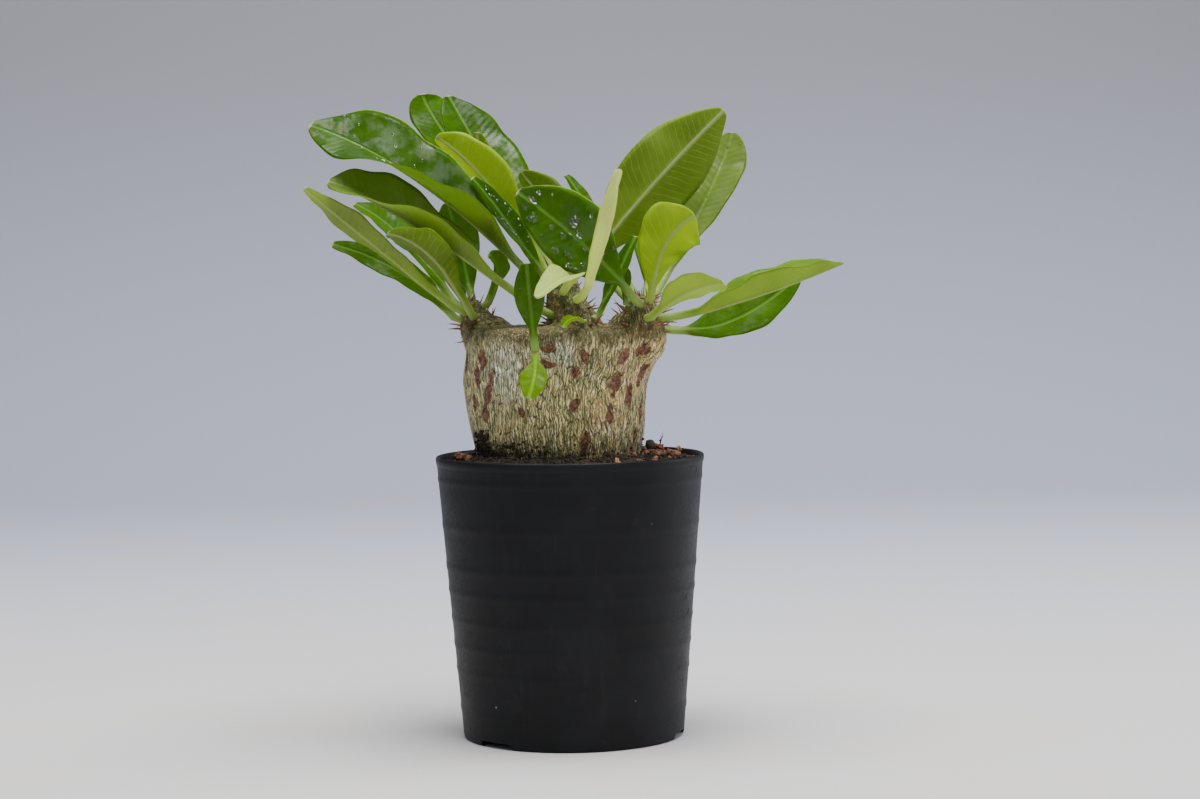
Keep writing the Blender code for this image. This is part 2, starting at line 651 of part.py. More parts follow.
def build_leaf(leaf, material):
    """One leaf: a round petiole that flattens into a folded, keeled blade."""
    base, control, tip = leaf_midrib(leaf)
    face_way = Vector(leaf.face).normalized()
    rings = []
    for number in range(LEAF_STATIONS):
        t = 1.0 - (1.0 - number / (LEAF_STATIONS - 1)) ** TIP_CROWDING
        centre = base * (1 - t) ** 2 + control * 2 * t * (1 - t) + tip * t * t
        ahead = ((control - base) * (1 - t) + (tip - control) * t).normalized()
        normal = (face_way - ahead * face_way.dot(ahead)).normalized()
        normal = Matrix.Rotation(math.radians(leaf.twist) * (t - 0.5), 3, ahead) @ normal
        side = ahead.cross(normal)
        shrink = PETIOLE_NOSE / PETIOLE_RADIUS if number == 0 else 1.0
        rings.append(
            [centre + side * x * shrink + normal * y * shrink for x, y in leaf_section(leaf, t)]
        )
    points, faces = skin_rings(rings, base, rings[-1][2].lerp(rings[-1][6], 0.5))
    return link_mesh(leaf.name, points, split_evenly(faces, len(rings[0])), material)


def build_leaves():
    for leaf in LEAVES:
        build_leaf(leaf, make_material(leaf.name + "_" + leaf.tone, LEAF_TONES[leaf.tone], 0.4))


def build_granules():
    for number, granule in enumerate(GRANULES):
        stone = make_material(f"granule_{number + 1}_stone", (0.30, 0.11, 0.05), 0.9)
        build_granule(number, granule, stone)


clear_scene()
build_pot()
build_soil()
build_caudex()
build_leaves()
build_granules()
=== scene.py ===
import math
import random
from collections import Counter, namedtuple

import bmesh
import bpy
import numpy as np
from mathutils import Matrix, Vector, noise


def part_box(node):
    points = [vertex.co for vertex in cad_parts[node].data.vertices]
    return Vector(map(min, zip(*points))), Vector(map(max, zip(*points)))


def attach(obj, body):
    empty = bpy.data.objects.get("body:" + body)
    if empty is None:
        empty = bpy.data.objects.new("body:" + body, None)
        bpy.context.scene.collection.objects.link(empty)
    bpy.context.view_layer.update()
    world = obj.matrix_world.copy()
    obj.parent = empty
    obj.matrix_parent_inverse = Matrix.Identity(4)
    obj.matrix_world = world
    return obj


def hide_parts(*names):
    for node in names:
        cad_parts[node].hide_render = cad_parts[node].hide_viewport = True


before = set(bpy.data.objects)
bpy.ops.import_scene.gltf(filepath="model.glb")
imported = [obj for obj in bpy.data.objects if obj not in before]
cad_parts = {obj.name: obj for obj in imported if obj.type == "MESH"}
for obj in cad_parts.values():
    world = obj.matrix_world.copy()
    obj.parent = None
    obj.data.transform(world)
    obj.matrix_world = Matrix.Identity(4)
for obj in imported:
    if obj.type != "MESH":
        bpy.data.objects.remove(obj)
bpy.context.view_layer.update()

MM = 0.001

# Sizes shared with the CAD, in millimetres. The rim's height is read from the frame.
POT_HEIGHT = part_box("pot")[1].z / MM
POT_TOP_RADIUS = 45.0
POT_BASE_RADIUS = 37.2
POT_WALL = 1.2
POT_FLOOR_TOP = 4.0
POT_FLOOR_THICKNESS = 1.6
PAD_RADIUS = 9.0
FOOT_WIDTH = 1.8
NOTCH_FIRST_ANGLE = 226.0
NOTCH_COUNT = 3
NOTCH_WIDTH = 14.0
NOTCH_HEIGHT = 2.0
DRAIN_COUNT = 8
DRAIN_RADIUS = 3.2
DRAIN_REACH = 0.62 * POT_BASE_RADIUS
DRAIN_FIRST_ANGLE = 13.0
SOIL_DROP = 2.2
SOIL_MOUND = 2.6
CAUDEX_WIDTH = 66.0
CAUDEX_DEPTH_RATIO = 0.90
CAUDEX_RIPPLE = 0.5
CAUDEX_RISE = 43.4
WRINKLE_COUNT = 200
PETIOLE_RADIUS = 1.35
WIDEST_AT = 0.54
TIP_CROWDING = 1.25

Ring = namedtuple("Ring", "height centre share")
CAUDEX_RINGS = [
    Ring(*row)
    for row in (
        (-0.45, -4.0, 0.392), (-0.15, -3.8, 0.412), (0.0, -3.7, 0.420),
        (0.15, -3.9, 0.438), (0.30, -4.2, 0.450), (0.45, -4.3, 0.460),
        (0.58, -3.9, 0.472), (0.70, -2.8, 0.484), (0.82, -1.8, 0.494),
        (0.91, -1.3, 0.500), (0.955, -1.2, 0.491), (0.985, -1.2, 0.45),
        (1.0, -1.2, 0.32),
    )
]

Station = namedtuple("Station", "x y z radius")
ARMS = {
    "left": (
        (-21.0, 1.0, 30.0, 8.0),
        (-26.8, 1.0, 39.0, 8.8),
        (-30.2, 1.0, 43.6, 6.6),
        (-31.8, 1.0, 48.0, 4.5),
        (-32.7, 1.0, 51.2, 3.2),
        (-33.0, 1.0, 52.6, 1.4),
    ),
    "centre": (
        (2.0, -6.5, 34.0, 10.0),
        (1.7, -6.8, 42.0, 10.2),
        (0.8, -7.2, 46.5, 8.0),
        (-0.8, -7.6, 52.0, 6.2),
        (-1.8, -7.8, 58.0, 5.0),
        (-2.4, -8.0, 62.0, 3.6),
        (-2.5, -8.0, 63.6, 1.5),
    ),
    "right": (
        (18.0, -5.0, 30.0, 8.0),
        (22.4, -9.5, 39.0, 10.4),
        (24.2, -12.8, 44.0, 8.2),
        (24.8, -14.4, 48.5, 6.0),
        (25.0, -15.0, 51.6, 4.0),
        (25.0, -15.0, 53.0, 1.8),
    ),
    "front": (
        (-10.0, -24.0, 31.0, 4.2),
        (-10.2, -28.6, 33.4, 3.0),
        (-10.3, -30.6, 34.6, 2.3),
        (-10.4, -31.6, 35.2, 1.2),
    ),
    "top": (
        (6.4, -18.0, 38.0, 5.0),
        (6.8, -19.6, 43.5, 3.4),
        (7.0, -20.6, 45.6, 2.4),
        (7.0, -20.8, 46.6, 1.2),
    ),
}

Leaf = namedtuple(
    "Leaf",
    "name arm tone angle rise drop tip bow face twist width fold_base fold_tip petiole widest",
    defaults=(WIDEST_AT,),
)
# One row a leaf, without its name
LEAF_TABLE = (
    ("left", "fresh", 238, 0, 4.5, (-51, -31, 37), (-4, -3, 3), (45, 50, 72), 0, 16, 10, 5, 0.18),
    ("left", "deep", 190, 0, 6.0, (-45, -7, 19), (3, -2, 3), (30, -65, 65), 0, 13, 15, 10, 0.12),
    ("left", "fresh", 268, 0, 6.5, (-24, -39, 22), (1, -4, 6), (30, 60, 60), 0, 17, 20, 10, 0.22),
    ("left", "deep", 140, 0, 4.5, (-40, 22, 33), (-1, 3, 6), (50, -50, 60), 0, 14, 20, 10, 0.15),
    ("left", "deep", 85, 0, 3.5, (-8, 18, 33), (0, 3, 2), (0, -90, 35), 0, 15, 20, 10, 0.15),
    ("left", "fresh", 345, 0, 4.0, (7, -4, 15), (3, 1, 2), (60, -60, 30), 0, 10, 35, 30, 0.35),
    ("left", "deep", 110, 0, 7.0, (-20, 50, 22), (0, 3, 6), (0, -40, 90), 0, 15, 20, 8, 0.16),
    ("centre", "deep", 200, 0, 7.5, (-81, -8, 47), (0, -6, 7), (50, -40, 70), -60, 31, 84, 2, 0.1, 0.68),
    ("centre", "deep", 218, 0, 15.5, (-74, -22, 28), (-7, -5, 8), (53, -25, 80), -45, 25, 84, 8, 0.16, 0.64),
    ("centre", "deep", 112, 0, 6.0, (-48, 56, 61), (-12, 14, 14), (30, -80, 50), 0, 20, 20, 8, 0.12),
    ("centre", "deep", 85, 0, 8.0, (-38, 38, 59), (-4, 2, 6), (50, -75, 40), 0, 26, 20, 8, 0.12),
    ("centre", "lime", 143, 0, 3.5, (-40, -2, 43), (0, 0, 6), (50, 85, 30), 0, 18, 35, 25, 0.16),
    ("centre", "fresh", 110, 0, 2.6, (-27, 13, 45), (-7, 3, 7), (50, 80, 30), 0, 9, 25, 15, 0.14),
    ("centre", "deep", 180, 0, 4.6, (-28, -8, 29), (2, -1, -1), (60, -70, 40), 0, 10, 25, 15, 0.14),
    ("centre", "fresh", 10, 0, 5.0, (56, 12, 51), (-1, -2, 1), (-20, 93, 10), 0, 27, 12, 5, 0.12),
    ("centre", "fresh", 312, 0, 12.5, (20, -60, 29), (1, -18, -5), (-30, 60, 70), 0, 9, 60, 45, 0.18),
    ("centre", "fresh", 268, 0, 9.0, (-6, -62, -10), (6, -4, 6), (30, 30, 80), 0, 12, 30, 20, 0.2),
    ("centre", "deep", 60, 0, 10.5, (-4, 58, 18), (2, 3, 4), (0, -40, 90), 0, 18, 20, 8, 0.16),
    ("right", "deep", 130, 0, 4.5, (-40, 21, 42), (-5, 4, 6), (50, 80, 30), 0, 16, 30, 15, 0.18),
    ("right", "deep", 105, 0, 2.5, (-25, 27, 41), (-3, 4, 7), (50, -70, 30), 0, 6, 25, 15, 0.18),
    ("right", "deep", 262, 0, 2.5, (-40, -26, 34), (2, -4, 1), (40, -90, 10), 0, 25, 14, 8, 0.2),
    ("right", "deep", 60, 0, 3.0, (32, 35, 55), (6, 6, 8), (-30, -85, 30), 0, 19, 15, 6, 0.14),
    ("right", "lime", 300, 0, 2.0, (17, -13, 26), (-3, -1, 4), (-30, 90, 30), 0, 22, 15, 10, 0.14, 0.7),
    ("right", "fresh", 285, 0, 5.5, (25, -43, 4), (0, -3, 3), (-20, 80, 55), 0, 15, 15, 8, 0.20),
    ("right", "fresh", 338, 0, 6.0, (66, -3, 10), (-1, -3, -2), (-25, -10, 95), 0, 20, 52, 40, 0.18),
    ("right", "deep", 5, 0, 9.5, (53, 17, 6), (0, -1, -6), (-15, -80, 60), 0, 17, 12, 6, 0.14),
    ("right", "deep", 205, 0, 3.5, (-7, -4, 10), (0, 0, 1), (40, -80, 30), 0, 6, 25, 20, 0.3),
    ("right", "deep", 85, 0, 5.0, (10, 58, 22), (0, 3, 6), (0, -40, 90), 0, 17, 20, 8, 0.16),
    ("top", "deep", 15, 20, 1.0, (16, 3, 26), (-1, -3, -2), (-50, -80, 30), 0, 7, 25, 15, 0.25),
    ("top", "lime", 245, 10, 1.0, (-8, -15, -3), (0, -1, 2), (0, -30, 95), 0, 5, 25, 20, 0.30),
    ("front", "deep", 270, 60, 0.0, (-2, -10, 29), (0, -3, 0), (0, -95, 30), 0, 10, 14, 8, 0.24),
    ("front", "lime", 270, -35, 0.0, (-2, -13, -14), (1, -2, 1), (0, -80, 60), 0, 9, 14, 8, 0.20),
)


def name_leaves(table):
    """The leaves, numbered along each arm in the table's order."""
    counts = Counter()
    leaves = []
    for row in table:
        counts[row[0]] += 1
        leaves.append(Leaf(f"leaf_{row[0]}_{counts[row[0]]}", *row))
    return leaves


LEAVES = name_leaves(LEAF_TABLE)


# ---- mesh helpers


def link_mesh(name, points, faces, materials, slot):
    """Makes a piece from points in millimetres and gives it its materials. The slot argument is not used."""
    mesh = bpy.data.meshes.new(name)
    mesh.from_pydata((np.asarray(points, float) * MM).tolist(), [], faces)
    for material in materials:
        mesh.materials.append(material)
    mesh.shade_smooth()
    item = bpy.data.objects.new(name, mesh)
    bpy.context.scene.collection.objects.link(item)
    return item


def ring_faces(levels, count):
    """Quads between the neighbouring rings of a tube."""
    faces = []
    for level in range(levels - 1):
        low = level * count
        high = low + count
        for k in range(count):
            after = (k + 1) % count
            faces.append((low + k, low + after, high + after, high + k))
    return faces


def capped_tube(rings):
    """Points and faces of a tube whose two ends are closed by a centre point."""
    rings = np.asarray(rings, float)
    levels, count = rings.shape[:2]
    points = rings.reshape(-1, 3).tolist()
    points += [rings[0].mean(0).tolist(), rings[-1].mean(0).tolist()]
    faces = ring_faces(levels, count)
    first, last = len(points) - 2, len(points) - 1
    top = (levels - 1) * count
    for k in range(count):
        after = (k + 1) % count
        faces.append((first, after, k))
        faces.append((last, top + k, top + after))
    return points, faces


def join_parts(parts):
    """Many (points, faces) pairs as one."""
    points, faces = [], []
    for part_points, part_faces in parts:
        shift = len(points)
        points += [tuple(p) for p in part_points]
        faces += [tuple(i + shift for i in face) for face in part_faces]
    return points, faces


def set_attribute(item, name, values):
    """Stores one number per vertex for the materials."""
    attribute = item.data.attributes.new(name, "FLOAT", "POINT")
    attribute.data.foreach_set("value", np.asarray(values, np.float32))


def smoothstep(low, high, value):
    t = np.clip((value - low) / (high - low), 0.0, 1.0)
    return t * t * (3.0 - 2.0 * t)


def direction(angle, rise):
    angle = math.radians(angle)
    rise = math.radians(rise)
    return Vector(
        (math.cos(rise) * math.cos(angle), math.cos(rise) * math.sin(angle), math.sin(rise))
    )


def catmull(rows, count):
    """A smooth curve through rows of numbers."""
    rows = np.asarray(rows, float)
    padded = np.vstack([2 * rows[0] - rows[1], rows, 2 * rows[-1] - rows[-2]])
    at = np.linspace(0, len(rows) - 1 - 1e-9, count)
    i = at.astype(int)
    t = (at - i)[:, None]
    a, b, c, d = padded[i], padded[i + 1], padded[i + 2], padded[i + 3]
    return 0.5 * (
        2 * b + (c - a) * t + (2 * a - 5 * b + 4 * c - d) * t**2 + (3 * b - a - 3 * c + d) * t**3
    )


# ---- material helpers


class Graph:
    """A short way to write one material's node tree."""

    def __init__(self, name, roughness=0.5):
        self.material = bpy.data.materials.new(name)
        self.material.use_nodes = True
        self.tree = self.material.node_tree
        self.shader = self.tree.nodes["Principled BSDF"]
        self.output = self.tree.nodes["Material Output"]
        self.shader.inputs["Roughness"].default_value = roughness

    def feed(self, socket, value):
        if isinstance(value, bpy.types.NodeSocket):
            self.tree.links.new(value, socket)
        elif isinstance(value, (tuple, list)) and len(value) == 3 and socket.type == "RGBA":
            socket.default_value = (*value, 1.0)
        else:
            socket.default_value = value

    def node(self, kind, inputs=None, **settings):
        node = self.tree.nodes.new("ShaderNode" + kind)
        for key, value in settings.items():
            setattr(node, key, value)
        for key, value in (inputs or {}).items():
            self.feed(node.inputs[key], value)
        return node

    def math(self, operation, a, b=0.0, c=0.0):
        return self.node("Math", {0: a, 1: b, 2: c}, operation=operation).outputs[0]

    def plus(self, a, b):
        return self.math("ADD", a, b)

    def minus(self, a, b):
        return self.math("SUBTRACT", a, b)

    def times(self, a, b):
        return self.math("MULTIPLY", a, b)

    def mix(self, factor, a, b, blend="MIX"):
        node = self.node("Mix", data_type="RGBA", blend_type=blend)
        self.feed(node.inputs["Factor"], factor)
        self.feed(node.inputs[6], a)
        self.feed(node.inputs[7], b)
        return node.outputs[2]

    def ramp(self, value, low, high, out_low=0.0, out_high=1.0):
        """Smooth step from low to high."""
        inputs = {"Value": value, 1: low, 2: high, 3: out_low, 4: out_high}
        return self.node("MapRange", inputs, interpolation_type="SMOOTHSTEP").outputs[0]

    def coordinates(self, scale=(1, 1, 1)):
        """Object coordinates in millimetres, stretched by scale."""
        place = self.node("TexCoord").outputs["Object"]
        size = tuple(1000.0 * s for s in scale)
        return self.node("Mapping", {"Vector": place, "Scale": size}).outputs[0]

    def noise(self, vector, scale, detail=3.0, roughness=0.55, distortion=0.0):
        inputs = {
            "Vector": vector,
            "Scale": scale,
            "Detail": detail,
            "Roughness": roughness,
            "Distortion": distortion,
        }
        return self.node("TexNoise", inputs).outputs["Fac"]

    def cells(self, vector, scale, feature="F1"):
        inputs = {"Vector": vector, "Scale": scale}
        return self.node("TexVoronoi", inputs, feature=feature).outputs["Distance"]

    def attribute(self, name):
        return self.node("Attribute", attribute_name=name).outputs["Fac"]

    def bump(self, height, distance, strength=1.0):
        inputs = {"Height": height, "Distance": distance * MM, "Strength": strength}
        node = self.node("Bump", inputs)
        self.feed(self.shader.inputs["Normal"], node.outputs[0])
        return node.outputs[0]

    def base(self, colour):
        self.feed(self.shader.inputs["Base Color"], colour)

    def rough(self, value):
        self.feed(self.shader.inputs["Roughness"], value)


# ---- pot


def pot_material():
    g = Graph("pot_black_plastic", 0.42)
    mm = g.coordinates()
    broad = g.noise(mm, 0.045, 3.0, 0.6)
    fine = g.noise(mm, 0.9, 4.0, 0.6)
    streak = g.noise(g.coordinates((1.0, 1.0, 0.12)), 0.35, 3.0, 0.55)
    colour = g.mix(g.ramp(broad, 0.35, 0.7), (0.0056, 0.0060, 0.0070), (0.0096, 0.0101, 0.0114))
    colour = g.mix(g.ramp(streak, 0.58, 0.80, 0.0, 0.30), colour, (0.021, 0.021, 0.022))
    speck = g.ramp(g.cells(mm, 0.085), 0.034, 0.022)
    speck = g.times(speck, g.ramp(g.noise(mm, 1.7, 2.0), 0.46, 0.56))
    colour = g.mix(g.times(speck, 0.65), colour, (0.34, 0.33, 0.31))
    smudge = g.ramp(g.noise(mm, 0.16, 2.0, 0.4, 0.6), 0.68, 0.74)
    colour = g.mix(g.times(smudge, 0.22), colour, (0.030, 0.029, 0.028))
    g.base(colour)
    g.shader.inputs["Specular IOR Level"].default_value = 0.14
    rough = g.ramp(broad, 0.3, 0.75, 0.44, 0.56)
    rough = g.plus(rough, g.ramp(fine, 0.4, 0.7, -0.03, 0.06))
    g.rough(g.plus(rough, g.times(smudge, 0.18)))
    g.bump(g.plus(fine, g.times(streak, 0.6)), 0.05, 0.35)
    return g.material


def pot_radius(z):
    return POT_BASE_RADIUS + (POT_TOP_RADIUS - POT_BASE_RADIUS) * z / POT_HEIGHT


def pot_wave(z):
    """Faint horizontal rings left by the mould."""
    share = z / POT_HEIGHT
    rings = ((0.92, 0.20, 0.008), (0.76, 0.16, 0.014), (0.615, 0.22, 0.014), (0.53, 0.22, 0.012))
    rings += ((0.43, 0.20, 0.012), (0.34, 0.22, 0.012), (0.25, 0.22, 0.012), (0.11, 0.20, 0.012))
    return sum(depth * math.exp(-(((share - at) / wide) ** 2)) for at, depth, wide in rings)


def pot_profile():
    floor_low = POT_FLOOR_TOP - POT_FLOOR_THICKNESS
    foot_inner = POT_BASE_RADIUS - FOOT_WIDTH
    rows = [
        (0.01, 0.0),
        (PAD_RADIUS - 0.3, 0.0),
        (PAD_RADIUS, 0.3),
        (PAD_RADIUS + 0.4, floor_low),
        (foot_inner - 0.4, floor_low),
        (foot_inner, 0.2),
        (foot_inner + 0.3, 0.0),
        (POT_BASE_RADIUS - 1.0, 0.0),
        (POT_BASE_RADIUS - 0.35, 0.25),
        (POT_BASE_RADIUS - 0.05, 0.8),
    ]
    for z in np.linspace(1.6, POT_HEIGHT - 4.0, 110):
        rows.append((pot_radius(z) + pot_wave(z) - 0.08, z))
    top = POT_HEIGHT
    rows += [
        (pot_radius(top - 3.6) - 0.02, top - 3.6),
        (pot_radius(top - 3.1) - 0.10, top - 3.1),
        (pot_radius(top - 2.6) + 0.12, top - 2.6),
        (pot_radius(top - 1.4) + 0.22, top - 1.4),
        (pot_radius(top) + 0.05, top - 0.55),
        (pot_radius(top) - 0.18, top - 0.16),
        (pot_radius(top) - 0.55, top),
        (pot_radius(top) - 0.90, top - 0.10),
        (pot_radius(top) - POT_WALL, top - 0.5),
    ]
    for z in np.linspace(top - 2.0, POT_FLOOR_TOP, 12):
        rows.append((pot_radius(z) - POT_WALL, z))
    rows.append((0.01, POT_FLOOR_TOP))
    return rows


def cut(item, cutter):
    """Takes one exact bite out of a piece."""
    modifier = item.modifiers.new("cut", "BOOLEAN")
    modifier.operation = "DIFFERENCE"
    modifier.solver = "EXACT"
    modifier.object = cutter
    bpy.context.view_layer.update()
    graph = bpy.context.evaluated_depsgraph_get()
    result = bpy.data.meshes.new_from_object(item.evaluated_get(graph))
    item.modifiers.clear()
    item.data = result
    bpy.data.objects.remove(cutter, do_unlink=True)


def slot_cutter(angle):
    """A long box that opens one notch through the foot ring."""
    turn = Matrix.Rotation(math.radians(angle), 4, "Z")
    points = []
    for x in (POT_BASE_RADIUS - 7.0, POT_BASE_RADIUS + 7.0):
        for y, z in ((-1, -1), (1, -1), (1, 0.55), (0.90, 1), (-0.90, 1), (-1, 0.55)):
            points.append(turn @ Vector((x, y * NOTCH_WIDTH / 2, z * NOTCH_HEIGHT)))
    faces = [(5, 4, 3, 2, 1, 0), (6, 7, 8, 9, 10, 11)]
    faces += [(k, (k + 1) % 6, (k + 1) % 6 + 6, k + 6) for k in range(6)]
    return link_mesh("cutter", [tuple(p) for p in points], faces, [], None)


def drain_cutter(angle):
    centre = direction(angle, 0) * DRAIN_REACH
    rim = [centre + direction(360 * k / 40, 0) * DRAIN_RADIUS for k in range(40)]
    rings = [[point + Vector((0, 0, z)) for point in rim] for z in (1.0, POT_FLOOR_TOP + 1.0)]
    return link_mesh("cutter", *capped_tube(rings), [], None)


def build_pot():
    count = 240
    rings = []
    for radius, z in pot_profile():
        ring = []
        for k in range(count):
            angle = math.tau * k / count
            wobble = 1.0 + 0.0012 * math.sin(2 * angle + 0.6) * min(1.0, z / 30.0)
            wobble += 0.0006 * math.sin(3 * angle + z / 17.0)
            ring.append((radius * wobble * math.cos(angle), radius * wobble * math.sin(angle), z))
        rings.append(ring)
    points, faces = capped_tube(rings)
    pot = link_mesh("pot_shell", points, faces, [pot_material()], "pot_plastic")
    for number in range(NOTCH_COUNT):
        cut(pot, slot_cutter(NOTCH_FIRST_ANGLE + number * 360.0 / NOTCH_COUNT))
    for number in range(DRAIN_COUNT):
        cut(pot, drain_cutter(DRAIN_FIRST_ANGLE + number * 360.0 / DRAIN_COUNT))
    pot.data.shade_smooth()
    pot.data.set_sharp_from_angle(angle=math.radians(38))
    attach(pot, "root")
    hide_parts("pot")


# ---- caudex


def trunk_rings(segments, levels):
    rows = catmull([(POT_HEIGHT + r.height * CAUDEX_RISE, r.centre, r.share) for r in CAUDEX_RINGS], levels)
    rings = []
    for z, centre, share in rows:
        half = share * CAUDEX_WIDTH
        height = (z - POT_HEIGHT) / CAUDEX_RISE
        ring = []
        for k in range(segments):
            angle = math.tau * k / segments
            lobe = CAUDEX_RIPPLE * math.sin(5 * angle + 9.0 * height) * share
            reach_x = half + lobe
            reach_y = CAUDEX_DEPTH_RATIO * half + lobe
            ring.append((centre + reach_x * math.cos(angle), reach_y * math.sin(angle), z))
        rings.append(ring)
    return rings


ARM_LEVELS = 26
ARM_SIDES = 28


def arm_stations(arm):
    return [Station(x, y, POT_HEIGHT + z, radius) for x, y, z, radius in ARMS[arm]]


def arm_at(arm, drop):
    """Centre, radius and axis of an arm at a given drop below its tip."""
    stations = arm_stations(arm)
    z = stations[-1].z - drop
    for low, high in zip(stations, stations[1:]):
        if low.z <= z <= high.z:
            t = (z - low.z) / (high.z - low.z)
            start = Vector(low[:3])
            end = Vector(high[:3])
            radius = low.radius + t * (high.radius - low.radius)
            return start.lerp(end, t), radius, (end - start).normalized()
    raise ValueError(f"a drop of {drop} is below the arm {arm}")


def arm_tube(arm):
    rows = catmull([tuple(s) for s in arm_stations(arm)], ARM_LEVELS)
    rings = []
    for i, (x, y, z, radius) in enumerate(rows):
        before, after = rows[max(0, i - 1)][:3], rows[min(len(rows) - 1, i + 1)][:3]
        axis = Vector(after - before).normalized()
        side = axis.cross(Vector((0, 1, 0))).normalized()
        front = side.cross(axis)
        ring = []
        for k in range(ARM_SIDES):
            a = math.tau * k / ARM_SIDES
            ring.append(Vector((x, y, z)) + (side * math.cos(a) - front * math.sin(a)) * radius)
        rings.append(ring)
    return capped_tube(rings)


# The trunk leans left, so its own axis, which the scars and wrinkles turn about, is left of the pot's
SCAR_AXIS = -3.5
WRINKLE_AXIS = -3.6
TRUNK_RADIUS = 30.0

# A scar: compass angle around the trunk, height above the rim, width, height, lean
Scar = namedtuple("Scar", "angle height width tall lean")
SCARS = [
    Scar(*row)
    for row in (
        (311, 33.2, 4.4, 6.6, 0), (286, 33.5, 2.6, 7.0, 22), (281, 28.6, 2.8, 4.6, -12),
        (307, 24.8, 4.6, 9.0, 4), (322, 19.5, 3.8, 8.0, 8), (306, 14.0, 3.8, 7.0, 4),
        (281, 18.0, 3.4, 4.8, -10), (288, 5.4, 3.0, 6.4, 0), (324, 35.2, 4.4, 4.8, 10),
        (332, 27.0, 4.2, 9.6, -14), (338, 14.5, 3.8, 10.0, 0), (333, 6.5, 3.0, 6.0, -8),
        (219, 33.0, 5.2, 7.2, 0), (212, 27.5, 3.4, 7.6, 5), (223, 22.0, 3.4, 14.5, -24),
        (218, 15.0, 3.4, 5.0, 0), (206, 18.5, 3.0, 8.0, 0), (262, 31.0, 8.0, 3.6, 0),
        (265, 36.6, 4.0, 3.6, 0), (247, 15.5, 3.0, 3.6, 20), (345, 33.0, 3.4, 6.6, 0),
        (352, 20.0, 3.4, 7.6, 8), (12, 31.0, 3.6, 6.0, 0), (28, 22.0, 3.2, 7.0, -8),
        (46, 32.0, 3.8, 6.6, 0), (62, 17.0, 3.0, 6.0, 0), (80, 28.0, 3.8, 7.4, 6),
        (98, 34.0, 3.2, 5.0, 0), (110, 20.0, 3.4, 7.6, 0), (128, 29.0, 3.8, 6.6, 10),
        (146, 15.0, 2.8, 5.4, 0), (160, 30.0, 3.6, 8.0, 0), (176, 22.0, 3.2, 6.0, -10),
        (192, 32.0, 3.6, 7.0, 0),
    )
]


def scar_depth(points, warp):
    """How deep inside a leaf scar each point is, 0 to 1, with ragged edges."""
    angle = np.arctan2(points[:, 1] / CAUDEX_DEPTH_RATIO, points[:, 0] - SCAR_AXIS)
    result = np.zeros(len(points))
    for scar in SCARS:
        away = (angle - math.radians(scar.angle) + math.pi) % math.tau - math.pi
        x = away * TRUNK_RADIUS
        y = points[:, 2] - POT_HEIGHT - scar.height
        lean = math.radians(scar.lean)
        across = x * math.cos(lean) + y * math.sin(lean)
        along = -x * math.sin(lean) + y * math.cos(lean)
        reach = np.abs(across / (0.5 * scar.width)) ** 1.3 + np.abs(along / (0.5 * scar.tall)) ** 1.3
        result = np.maximum(result, smoothstep(1.30, 0.50, reach + warp))
    return result


def value_noise(points, scale, seed=0.0):
    """Smooth noise in about -1 to 1 at each point."""
    shift = Vector((seed, 7.3 * seed, -3.1 * seed))
    return np.array([noise.noise(Vector(p) * scale + shift) for p in points.tolist()])


